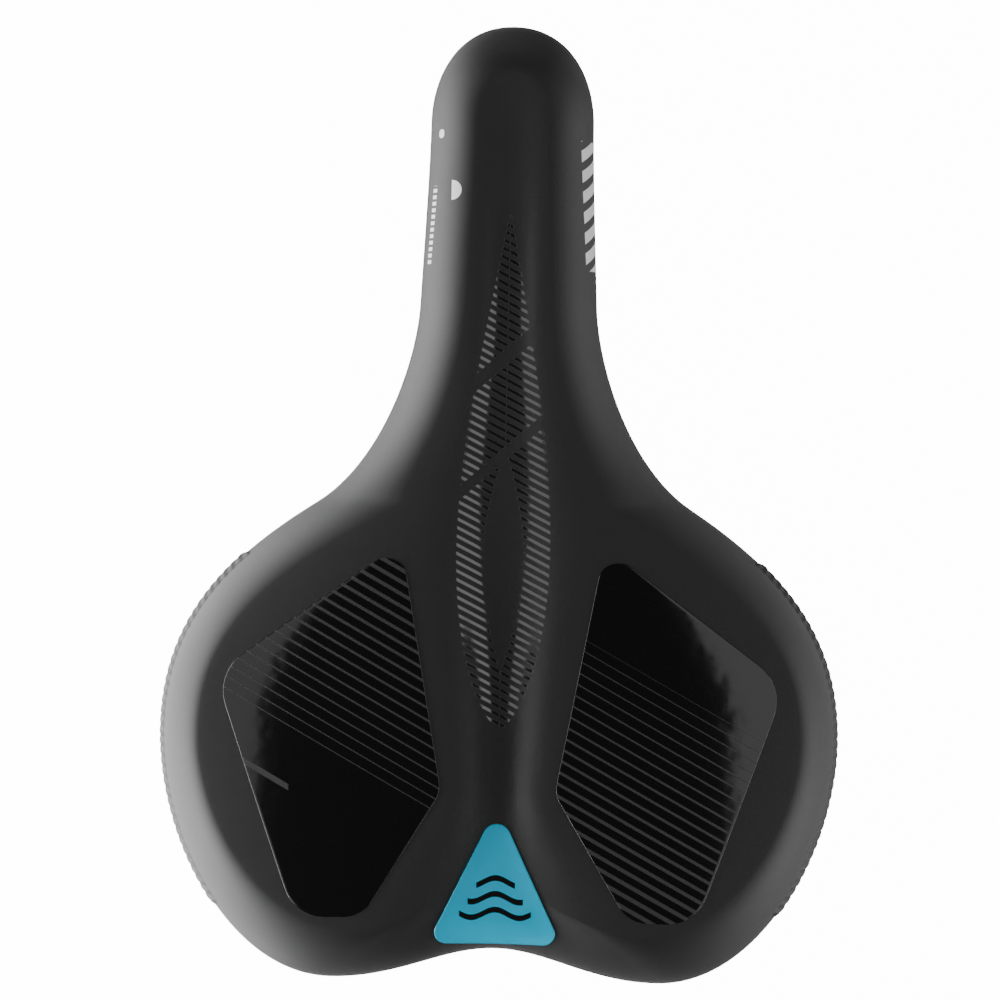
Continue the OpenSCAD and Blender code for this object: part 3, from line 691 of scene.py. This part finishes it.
def cover_material():
    """Matte soft-touch skin with a gloss print, a hatched leaf down the centre channel, and small pale marks
    on the nose's sides."""
    paint = Paint("matte soft-touch cover", Sheen_Weight=0.12, Sheen_Roughness=0.45)
    vector, x, y, z = paint.place()
    slow = paint.noise(vector, 0.015, 3.0)
    fine = paint.cells(vector, 2.6) * 0.5 + paint.noise(vector, 4.5, 2.0) * 0.5
    share = (y - LEAF_REAR) / LEAF_L
    leaf = hump(share.held().math("POWER", LEAF_SKEW)) * LEAF_HALF_W
    hollow = hump(((y - HOLLOW_REAR) / HOLLOW_L).held()) * HOLLOW_HALF_W
    inside = below(abs(x), leaf, 0.3) * within(share, 0.0, 1.0, 0.01) * below(-abs(x), -hollow, 0.3)
    banded = 1
    for low, high in BANDS:
        banded = banded - within(y + x * BAND_SLOPE, low, high, 0.3)
    hatch = inside * banded.held() * lines(y + x * HATCH_SLOPE, HATCH_PITCH, HATCH_HALF_W, 0.12)
    marks = nose_marks(x, y, z)
    tone = paint.between(slow, grey(MATTE[0]), grey(MATTE[1]))
    tone = paint.between(hatch, tone, grey(PRINT_TONE))
    tone = paint.between(marks, tone, grey(MARK_TONE))
    rough = 0.56 + (slow - 0.5) * 0.08 + (fine - 0.5) * 0.1
    rough = rough * (1 - hatch) + hatch * 0.12
    height = fine * (1 - hatch * 0.8)
    return paint.feed(Base_Color=tone, Roughness=rough, Metallic=hatch,
                      Normal=paint.bump(height, 0.035)).material


# Marks on the nose, each placed by y and z, but the half disc by y and x
NOSE_SIDE_X = 20
DOT = (119.3, 53.5)
DOT_R = 1.3
HALF_DISC = (102.6, -17.4)
HALF_DISC_R = 2.9
TICK_Y = (81, 104)
TICK_Z = (51.2, 53.4)
TICK_PITCH = 1.9
TICK_HALF_W = 0.55
BAR_Y = (80, 118)
BAR_Z = (46.0, 54.5)
BAR_SLANT = 0.45
BAR_PITCH = 6.0
BAR_HALF_W = 1.7


def nose_marks(x, y, z):
    """Small printed marks: a dot, a half disc and a run of ticks on the left side of the nose, and slanted
    bars on the right side."""
    left = below(x, -NOSE_SIDE_X, 0.2)
    right = below(-x, -NOSE_SIDE_X, 0.2)
    dot = disc(y, z, DOT, DOT_R, 0.15)
    half = disc(y, x, HALF_DISC, HALF_DISC_R, 0.15) * below(-x, -HALF_DISC[1], 0.15)
    ticks = within(y, *TICK_Y, 0.2) * within(z, *TICK_Z, 0.15) * lines(y, TICK_PITCH, TICK_HALF_W, 0.15)
    bars = within(y, *BAR_Y, 0.3) * within(z, *BAR_Z, 0.2)
    bars = bars * lines(y + z * BAR_SLANT, BAR_PITCH, BAR_HALF_W, 0.2)
    return (left * (dot + ticks) + half + right * bars).held()


STRIPE_SLOPE = 0.55
STRIPE_PITCH = 3.5
# For the left and the right window: the first stripe's row, the rows over which the stripes broaden, their
# first half width and how much it grows
STRIPES = {-1: (-89, 71, 0.14, 0.56), 1: (-15, -74, 0.12, 0.62)}
# The left window's one broad line, and where it ends
BROAD_LINE = (-106.0, -104.2)
BROAD_END = -60.5


def window_material(name, side):
    """Gloss film with matte slanted stripes. On the left they thin out downwards and end, with one broad
    short line below them; on the right they start thin and broaden downwards."""
    paint = Paint(name, IOR=1.8)
    vector, x, y, z = paint.place()
    row = y + x * STRIPE_SLOPE
    first, run, thin, growth = STRIPES[side]
    half_width = thin + ((row - first) / run).held() * growth
    present = below((first - row) * math.copysign(1, run), 1.0, 0.2)
    stripes = lines(row, STRIPE_PITCH, half_width, 0.12) * present
    if side < 0:
        stripes = stripes + within(row, *BROAD_LINE, 0.2) * below(x, BROAD_END, 0.3)
    stripes = stripes.held()
    slow = paint.noise(vector, 0.03, 2.0)
    fine = paint.noise(vector, 4.5, 2.0)
    tone = paint.between(stripes, grey(0.0045), grey(0.026))
    rough = (0.10 + (slow - 0.5) * 0.03) * (1 - stripes) + stripes * 0.5
    wave = paint.noise(vector, 0.16, 1.0) * 0.5 + fine * 0.01
    return paint.feed(Base_Color=tone, Roughness=rough,
                      Normal=paint.bump(wave + stripes * 0.02, 0.12)).material


# The badge's sign is three waves: the level and half length of each, then their shape and half thickness
WAVES = [(-98.0, 5.6), (-102.6, 8.0), (-107.2, 10.4)]
WAVE_TURN = 0.45
WAVE_H = 1.2
WAVE_HALF_T = 0.85
CYAN = ((0.0, 0.50, 0.78, 1), (0.0, 0.56, 0.86, 1))


def badge_material():
    """Domed cyan resin with a generic sign of three stacked waves, like the layers of a cushion."""
    paint = Paint("cyan resin badge", Roughness=0.12, Coat_Weight=0.6, Coat_Roughness=0.04)
    vector, x, y, z = paint.place()
    wave = (x * WAVE_TURN).math("COSINE") * WAVE_H
    sign = 0.0
    for level, reach in WAVES:
        sign = sign + within(y - level - wave, -WAVE_HALF_T, WAVE_HALF_T, 0.15) * below(abs(x), reach, 0.2)
    slow = paint.noise(vector, 0.08, 2.0)
    tone = paint.between(slow, *CYAN)
    tone = paint.between(sign.held(), tone, grey(0.008))
    return paint.feed(Base_Color=tone).material


MATERIALS = {
    "cover": cover_material(),
    "film_left": window_material("gloss film left", -1),
    "film_right": window_material("gloss film right", 1),
    "badge": badge_material(),
    "guard": plastic("ribbed guard rubber", 0.03, grain=3.0, depth=0.03, rough=0.55),
    "foam": foam("seat foam", (0.62, 0.52, 0.33)),
    "memory": foam("memory foam", (0.24, 0.42, 0.56)),
    "shell": plastic("textured shell", 0.022, grain=1.2, depth=0.05, rough=0.48),
    "bridge": plastic("glass-filled nylon", 0.02, grain=1.8, depth=0.03, rough=0.42),
    "rail": plastic("powder coat", 0.014, grain=1.4, depth=0.015, rough=0.33, Coat_Weight=0.25),
    "elastomer": plastic("elastomer rubber", 0.06, grain=2.4, depth=0.02, rough=0.7),
    "cup": plastic("moulded cup", 0.025, grain=2.0, depth=0.02, rough=0.45),
    "bracket": plastic("painted bracket", 0.02, grain=1.6, depth=0.015, rough=0.35),
    "steel": metal("zinc plated steel", (0.56, 0.56, 0.57), 0.32, (0.6, 0.6, 5.0)),
    "brass": metal("brass insert", (0.72, 0.5, 0.2), 0.35, (4.0, 4.0, 0.5)),
}


# ---------------------------------------------------------------- soft parts
# Radii of the cover's fold outside and inside, the bevel of its lip, and the lip's play round the shell
FOLD_R = 2.0
FOLD_INNER_R = 1.4
LIP_BEVEL = 0.3
LIP_PLAY = 0.1


def cover():
    """The skin: seat, roll and side, a round fold under the shell's edge, and a lip up its inner face; then
    its back, one thickness in."""
    hem, lean = RIM["hem"], RIM["lean"]
    a = np.radians([15, 30, 45, 60, 75, 90])[:, None]
    deep = LIP_D + COVER_T
    inner_fold = with_z(inward(lean + deep - FOLD_INNER_R * np.cos(a)), hem + FOLD_INNER_R * (1 - np.sin(a)))
    top = lip_z()
    lip = leaned(top)
    rows = [
        flat_rows(0, 46),
        roll_rows(0, np.linspace(0, 90, 25)[1:]),
        side_rows(0, np.linspace(0, 1, 15)[1:-1]),
        rim_row(lean, hem + FOLD_R),
        with_z(inward(lean + FOLD_R * (1 - np.cos(a))), hem + FOLD_R * (1 - np.sin(a))),
        inner_fold[::-1],
        rim_row((lean + lip) / 2 + deep, (hem + top) / 2),
        rim_row(lip + deep, top - LIP_BEVEL),
        rim_row(lip + deep - LIP_BEVEL, top),
        rim_row(lip + LIP_D + LIP_PLAY, top),
        rim_row(lean + LIP_D, hem + COVER_T),
        side_rows(COVER_T, np.linspace(0, 1, 6))[::-1],
        roll_rows(COVER_T, np.linspace(0, 90, 10)[:-1])[::-1],
        flat_rows(COVER_T, 16)[:-1][::-1],
    ]
    piece = mesh_piece("cover_skin", [(np.concatenate(rows), True)], "seat", MATERIALS["cover"],
                       ["cover"], smooth_angle=60)
    return piece


WINDOW = [(29.5, -0.5), (82.8, -39.5), (58, -109.3), (38.5, -108.8), (16.4, -72)]
WINDOW_R = [6, 13, 12, 10, 8]


def windows():
    """The gloss film over each sit pad, one corner outline and its mirror."""
    plan = evened(rounded(WINDOW, WINDOW_R, 12), 1.2)
    for side, word in ((-1, "left"), (1, "right")):
        patch = laid_patch(plan * [side, 1], height=0.3, dome=0.0, edge=0.2, sunk=0.35, rows=56)
        mesh_piece(f"film_{word}", [patch], "seat", MATERIALS[f"film_{word}"],
                   [f"gloss_film_{word}"])


BADGE_AHEAD = 11.4
BADGE_HALF_W = 19.6
BADGE_L = 41


def badge():
    """A domed triangle with round corners, just ahead of the notch."""
    bottom = REAR_Y + BADGE_AHEAD
    corners = [(-BADGE_HALF_W, bottom), (BADGE_HALF_W, bottom), (0, bottom + BADGE_L)]
    plan = evened(rounded(corners, [3.5, 3.5, 4.2], 14), 0.8)
    patch = laid_patch(plan, height=0.55, dome=0.35, edge=0.4, sunk=0.3)
    mesh_piece("badge_resin", [patch], "seat", MATERIALS["badge"], ["badge"])


RIB_PITCH = 3.0
RIB_H = 0.5
# How far along the rim a rib has moved at the guard's foot, and the power that narrows it
RIB_SLANT = 9
RIB_POWER = 1.5
# The guard's web, how far its border and its back lie in the cover, and its border's width at the two ends,
# in millimetres, and at top and bottom, as a share of the way down
WEB_T = 0.28
BORDER_SUNK = 0.15
BACK_SUNK = 0.4
BORDER_END = 2.5
BORDER_SHARE = 0.06
# The share of its rows that lie on the roll, the roll's angle at the first, and the side's share at the last
ON_ROLL = 0.25
ROLL_FROM = 66
SIDE_TO = 0.8
FINE = 7


def guards():
    """The ribbed wall on the outside of each wing.

    A point is a step along the rim and a share of the way down, from the last of the roll to most of the
    side. It stands off the cover by a thin web plus a rib, which is a rounded pulse of a slanted distance,
    and the web sinks into the cover at its border.
    """
    steps = CURVE_STEPS
    first = sum(steps[:3]) + round(steps[3] * 2 / 7)
    last = sum(steps[:4]) + round(steps[4] * 5 / 9)
    length = np.concatenate([[0], np.cumsum(np.linalg.norm(np.diff(RIM["edge"], axis=0), axis=1))])
    for side, word in ((1, "right"), (-1, "left")):
        index = np.linspace(first, last, (last - first) * FINE + 1)
        down = np.linspace(0, 1, 40)
        run = np.interp(index, np.arange(len(length)), length)
        slant = run[None, :] + RIB_SLANT * down[:, None]
        pulse = 0.5 - 0.5 * np.cos(2 * np.pi * slant / RIB_PITCH)
        end = np.minimum(run - run[0], run[-1] - run)[None, :]
        border = smooth(end / BORDER_END) * smooth(np.minimum(down, 1 - down) / BORDER_SHARE)[:, None]
        stand = (WEB_T + RIB_H * pulse**RIB_POWER) * border - BORDER_SUNK * (1 - border)

        def surface(o):
            """Points at offset o (one row for each share), blended between the rim's own samples."""
            rows = []
            for share, off in zip(down, o):
                whole = np.interp(np.arange(len(RIM["edge"])), index, off)
                if share < ON_ROLL:
                    rows.append(roll_rows(whole, [ROLL_FROM + (90 - ROLL_FROM) * share / ON_ROLL])[0])
                else:
                    rows.append(side_rows(whole, [SIDE_TO * (share - ON_ROLL) / (1 - ON_ROLL)])[0])
            rows = np.array(rows)
            low = np.floor(index).astype(int)
            part = (index - low)[None, :, None]
            return rows[:, low] * (1 - part) + rows[:, np.minimum(low + 1, last)] * part

        base = surface(np.zeros((len(down), len(index))))
        normal = np.cross(np.gradient(base, axis=0), np.gradient(base, axis=1))
        normal /= np.linalg.norm(normal, axis=2)[..., None]
        normal *= np.sign(normal[..., :1])
        outer = base + normal * stand[..., None]
        inner = base - normal * BACK_SUNK
        flip = np.array([side, 1, 1])
        around = np.concatenate([outer, inner[::-1]]) * flip
        ends = [np.stack([outer[:, k], inner[:, k]]) * flip for k in (0, -1)]
        closing = np.stack([inner[0], outer[0]]) * flip
        mesh_piece(f"ribbed_guard_{word}", [(around, False), (closing, False)] + [(e, False) for e in ends],
                   "seat", MATERIALS["guard"], [f"side_guard_{word}"], smooth_angle=60)


def pads():
    """The foam and memory pads under the cover."""
    for node, material, fill in (("foam_pad", "foam", 0.8), ("memory_pad_left", "memory", 0.7),
                                 ("memory_pad_right", "memory", 0.7)):
        finished_copy(node, "seat", MATERIALS[material])


# ---------------------------------------------------------------- shell
def shell_plate():
    """The moulded shell: plate, round corner and flange, then the same faces inside."""
    base = inward(FLANGE_D + CORNER_R)
    top = plate_z(base[:, 0], base[:, 1])
    full = 1 - (FLANGE_D + CORNER_R) / RIM["depth"]
    level, foot = lip_z(), RIM["hem"] + COVER_T + LAYER_GAP
    a = np.radians(np.linspace(15, 90, 6))[:, None]

    def face(drop):
        """The rows of one face, from the spine to the flange's foot, drop inside the outer one."""
        plan = at_share(np.linspace(0, 1, 24)[:, None] * full)
        plate = with_z(plan, plate_z(plan[..., 0], plan[..., 1]) - drop)
        r, d = CORNER_R - drop, FLANGE_D + drop
        corner = with_z(inward(d + leaned(top - CORNER_R) * np.sin(a) + r * (1 - np.sin(a))),
                        top - drop - r * (1 - np.cos(a)))
        return np.concatenate([plate, corner, rim_row(d + leaned(level), level),
                               rim_row(d + RIM["lean"], foot)])

    return np.concatenate([face(0), face(SHELL_T)[::-1]]), True


RIB_T = 1.6
# How far a rib reaches up into the plate, and the share of its length over which its two ends rise
RIB_BURIED = 0.4
RIB_RISE = 0.08


def upright_rib(start, end, height, count=40):
    """A stiffening rib under the plate, between two plan points: a thin wall with a round foot."""
    start, end = np.array(start, float), np.array(end, float)
    t = np.linspace(0, 1, count)[:, None]
    middle = start + (end - start) * t
    ahead = (end - start) / np.linalg.norm(end - start)
    square = np.array([-ahead[1], ahead[0]])
    under = plate_z(middle[:, 0], middle[:, 1]) - SHELL_T
    depth = height * smooth(np.minimum(t[:, 0], 1 - t[:, 0]) / RIB_RISE)
    a = np.radians([0, 45, 90, 135, 180])
    side = np.concatenate([[1], np.cos(a), [-1]]) * RIB_T / 2
    drop = np.concatenate([[0], np.sin(a) * RIB_T / 2, [0]])
    foot = np.concatenate([[0], np.ones(len(a)), [0]])
    plan = middle[:, None] + square * side[None, :, None]
    z = under[:, None] + RIB_BURIED - depth[:, None] * foot - drop * foot
    grid = with_z(plan, z)
    caps = np.broadcast_to(grid.mean(1, keepdims=True), grid.shape)
    return np.concatenate([caps[:1], grid, caps[-1:]]), True


# Ribs along the shell: first and last row and half distance apart at each; across it: row and half length
LONG_RIBS = [(96, -104, 5, 14), (88, -108, 11, 28)]
CROSS_RIBS = [(60, 12), (30, 16), (4, 26), (-22, 52), (-48, 66)]
LONG_RIB_H = 3.2
CROSS_RIB_H = 2.6
# Ribs round each cup: their turns in degrees, where they start and end, and their height
CUP_RIB_TURNS = [20, 75, 130, 200, 250, 310]
CUP_RIB_R = (8, 24)
CUP_RIB_H = 3.0
# Bosses, as (radius, height over the cup)
CUP_BOSS = [(0, 0), (8.6, 0), (9, 0.4), (9.3, 5), (9.3, 6), (0, 6)]
SCREW_BOSS = [(0, 0), (4.2, 0), (4.5, 0.3), (4.6, 5.5), (0, 5.5)]
SCREW_AHEAD = 20


def shell():
    """The shell with its ribs, the bosses over each cup, and the block over the nose bracket."""
    parts = [shell_plate()]
    for y0, y1, x0, x1 in LONG_RIBS:
        parts += [upright_rib((s * x0, y0), (s * x1, y1), LONG_RIB_H) for s in (-1, 1)]
    parts += [upright_rib((-x, y), (x, y), CROSS_RIB_H) for y, x in CROSS_RIBS]
    for s in (-1, 1):
        centre = np.array([s * EL_X, EL_Y])
        for angle in CUP_RIB_TURNS:
            turn = np.array([math.cos(math.radians(angle)), math.sin(math.radians(angle))])
            ends = [centre + turn * r for r in CUP_RIB_R]
            parts.append(upright_rib(*ends, CUP_RIB_H, count=16))
        parts.append(revolve(CUP_BOSS, (*centre, CUP_TOP)))
        for y in (-SCREW_AHEAD, SCREW_AHEAD):
            parts.append(revolve(SCREW_BOSS, (*(centre + [0, y]), CUP_TOP), 48))
    low, high = corner_mm("nose_bracket", 0), corner_mm("nose_bracket", 1)
    block = rounded([(low[0], low[1] - 1), (high[0], low[1] - 1), (high[0], high[1] + 1),
                     (low[0], high[1] + 1)], [1.2] * 4, 6)
    centre = block.mean(0)
    block_rows = [(0, 0), (0.97, 0), (1, 0.4), (1, 7.5), (0, 7.5)]
    rows = [with_z(centre + (block - centre) * s, high[2] + z) for s, z in block_rows]
    parts.append((np.stack(rows), True))
    mesh_piece("shell_moulding", parts, "seat", MATERIALS["shell"], ["base_shell"])


# ---------------------------------------------------------------- rails and suspension
WIRE_R = 3.5
RAIL_X = 22.0
CLAMP_ENDS = (-42.1, 38.3)
# The crossbar's corner in the nose, and how far the leg's last straight part reaches back and down from it
PIVOT = np.array([11.5, TIP_Y - PIVOT_BACK, 33.0])
PIVOT_LEG = [0, 24, 16]
# The wire's end in the bridge: across, behind and ahead of the bridge's front, and below the elastomers
TAIL_X = 25.0
TAIL_BEHIND = 23
TAIL_AHEAD = 6
TAIL_BELOW = 8
BEND_R = 14
CROSSBAR_BEND_R = 7


def rail_wire():
    """The wire: two legs from the bridge down to the clamp length, forward and up into the nose, where a
    crossbar joins them."""
    front = corner_mm("rear_bridge", 1)[1]
    tail = EL_LOW - TAIL_BELOW
    right = [(TAIL_X, front - TAIL_BEHIND, tail), (TAIL_X, front + TAIL_AHEAD, tail)]
    right += [(RAIL_X, y, 0) for y in CLAMP_ENDS] + [tuple(PIVOT - PIVOT_LEG), tuple(PIVOT)]
    radii = [BEND_R] * 4 + [CROSSBAR_BEND_R]
    left = [(-x, y, z) for x, y, z in reversed(right)]
    path = round_route(right + left, radii + radii[::-1])
    mesh_piece("rail_wire_bent", [tube(path, WIRE_R, 40)], "rail_frame", MATERIALS["rail"],
               ["rail_wire"], smooth_angle=60)


# The ring's bore, its edges' radius, its two grooves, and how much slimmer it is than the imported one
EL_BORE = 3.6
EL_EDGE_R = 1.5
GROOVE_D = 1.7
GROOVE_HALF_W = 1.1
EL_SLIMMER = 0.2
# The seat's full tip about the crossbar, and the room kept over the flattened ring
TIP_TURN = math.radians(1.6)
EL_ROOM = 0.1


def elastomers():
    """Ringed rubber springs."""
    h = EL_TOP - EL_LOW
    z = np.linspace(0, h, 61)
    edge = np.minimum(z, h - z)
    off = 1 - np.clip(edge / EL_EDGE_R, 0, 1)
    r = EL_R - EL_SLIMMER - EL_EDGE_R * (1 - np.sqrt(1 - off**2))
    for groove in (h / 3, 2 * h / 3):
        r = r - GROOVE_D * np.exp(-((z - groove) / GROOVE_HALF_W) ** 4)
    profile_rz = [(EL_BORE, 0), *zip(r, z), (EL_BORE, h), (EL_BORE, h / 2), (EL_BORE, 0)]
    travel = math.sin(TIP_TURN) * (TIP_Y - PIVOT_BACK - EL_Y + EL_R) + EL_ROOM
    for side, word in ((-1, "left"), (1, "right")):
        piece = mesh_piece(f"elastomer_ring_{word}", [revolve(profile_rz, (side * EL_X, EL_Y, EL_LOW))],
                           "rail_frame", MATERIALS["elastomer"], [f"elastomer_{word}"])
        (h - travel) / h
        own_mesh(piece)


# Node, slot and edge rounding of the seat's hard pieces
SEAT_HARDWARE = [
    ("nose_bracket", "bracket", 0.5), ("nose_clamp_plate", "bracket", 0.6),
    ("elastomer_cup_left", "cup", 0.35), ("elastomer_cup_right", "cup", 0.35),
    ("suspension_bolt_left", "steel", 0.3), ("suspension_bolt_right", "steel", 0.3),
    ("nose_screws", "steel", 0.25), ("cup_screws", "steel", 0.15),
    ("bolt_washers", "steel", 0.2), ("cover_staples", "steel", 0.12),
    ("nose_inserts", "brass", 0.0), ("bolt_inserts", "brass", 0.0),
]


def hard_parts():
    """The bridge, and the seat's moulded and metal pieces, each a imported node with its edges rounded."""
    finished_copy("rear_bridge", "rail_frame", MATERIALS["bridge"], bevel=0.9)
    for node, slot, bevel in SEAT_HARDWARE:
        finished_copy(node, "seat", MATERIALS[slot], bevel=bevel)


cover()
windows()
badge()
guards()
pads()
shell()
rail_wire()
elastomers()
hard_parts()


# ---------------------------------------------------------------- studio
FLOOR_Z = -0.10
FLOOR_HALF = 1.6
DOME_R = 8.0
STAGE_GLOW = 14.0
WORLD_GLOW = 0.035
# Name, place in metres, turn in degrees, width and length in metres, watts, and what the light shows on
LIGHTS = [
    ("left low light", (-0.62, -0.15, 0.02), (0, -75, 0), (0.5, 1.1), 9.5, "all"),
    ("left floor light", (-0.42, -0.1, -0.09), (180, 0, 0), (0.55, 0.8), 6, "all"),
    ("right low light", (0.62, -0.22, 0.02), (0, 75, 0), (0.5, 1.1), 3.1, "all"),
    ("right floor light", (0.42, -0.1, -0.09), (180, 0, 0), (0.55, 0.8), 0.6, "all"),
    ("rear left light", (-0.68, -0.30, 0.02), (0, -75, 24), (0.5, 0.5), 4.5, "all"),
    ("rear right light", (0.68, -0.30, 0.02), (0, 75, -24), (0.5, 0.5), 1.3, "all"),
    ("front light", (0.0, 0.7, 0.02), (-75, 0, 0), (0.5, 0.4), 0.4, "all"),
    ("left panel", (-0.57, 0.0, 0.82), (0, -35, 0), (0.46, 1.3), 1.0, "gloss"),
    ("right panel", (0.56, 0.0, 0.83), (0, 34, 0), (0.46, 1.3), 1.2, "gloss"),
    ("overhead fill", (0.0, 0.0, 1.4), (0, 0, 0), (1.4, 1.4), 9, "matte"),
]


def soft_light(name, place, turn, size, power, shows_on):
    """A rectangular soft light that the surfaces see and the camera doesn't."""
    light = bpy.data.lights.new(name, "AREA")
    light.shape = "RECTANGLE"
    light.size, light.size_y = size
    light.energy = power
    lamp = bpy.data.objects.new(name, light)
    lamp.location = place
    lamp.rotation_euler = [math.radians(t) for t in turn]
    lamp.visible_camera = False
    lamp.visible_glossy = shows_on != "matte"
    lamp.visible_diffuse = shows_on != "gloss"
    bpy.context.collection.objects.link(lamp)


def stage_piece(name, mesh, material):
    """A piece of the studio that only the camera sees."""
    made = bpy.data.objects.new(name, mesh)
    bpy.context.collection.objects.link(made)
    mesh.materials.append(material)
    made.visible_diffuse = False
    made.visible_glossy = False
    made.visible_shadow = False


def studio():
    """A pale floor and backdrop that glow white, low soft lights to both sides, stronger on the left, a
    panel over each side that only gloss shows, and a dim world."""
    half = FLOOR_HALF
    floor = bpy.data.meshes.new("floor")
    floor.from_pydata([(-half, -half, FLOOR_Z), (half, -half, FLOOR_Z), (half, half, FLOOR_Z),
                       (-half, half, FLOOR_Z)], [], [(0, 1, 2, 3)])
    paint = Paint("pale stage", Base_Color=grey(0.9), Roughness=0.9, Emission_Color=grey(1.0),
                  Emission_Strength=STAGE_GLOW)
    stage_piece("floor", floor, paint.material)
    dome = bpy.data.meshes.new("backdrop")
    work = bmesh.new()
    bmesh.ops.create_uvsphere(work, u_segments=48, v_segments=24, radius=DOME_R)
    work.to_mesh(dome)
    work.free()
    stage_piece("backdrop", dome, paint.material)
    for light in LIGHTS:
        soft_light(*light)
    world = bpy.data.worlds.new("studio")
    world.use_nodes = True
    sky = world.node_tree.nodes["Background"]
    sky.inputs["Color"].default_value = grey(1.0)
    sky.inputs["Strength"].default_value = WORLD_GLOW
    bpy.context.scene.world = world


# The camera's turn, the width it takes in at the level it is set for, its height and its aim, in metres
CAMERA_TURN = math.radians(1.3)
VIEW_W = 0.2934
VIEW_LEVEL = 0.050
CAMERA_H = 1.6
AIM_RIGHT = -0.00124
AIM_UP = 0.0005
SENSOR = 36


def camera():
    """Straight down on the saddle, nose up the picture and leaning a little to the right."""
    right = np.array([math.cos(CAMERA_TURN), math.sin(CAMERA_TURN)])
    up = np.array([-math.sin(CAMERA_TURN), math.cos(CAMERA_TURN)])
    centre = np.array([0, (TIP_Y + REAR_Y) / 2 * MM]) + AIM_RIGHT * right + AIM_UP * up
    data = bpy.data.cameras.new("camera")
    data.sensor_width = SENSOR
    data.lens = SENSOR * (CAMERA_H - VIEW_LEVEL) / VIEW_W
    made = bpy.data.objects.new("camera", data)
    made.location = (*centre, CAMERA_H)
    made.rotation_euler = (0, 0, CAMERA_TURN)
    bpy.context.collection.objects.link(made)
    bpy.context.scene.camera = made


studio()
camera()
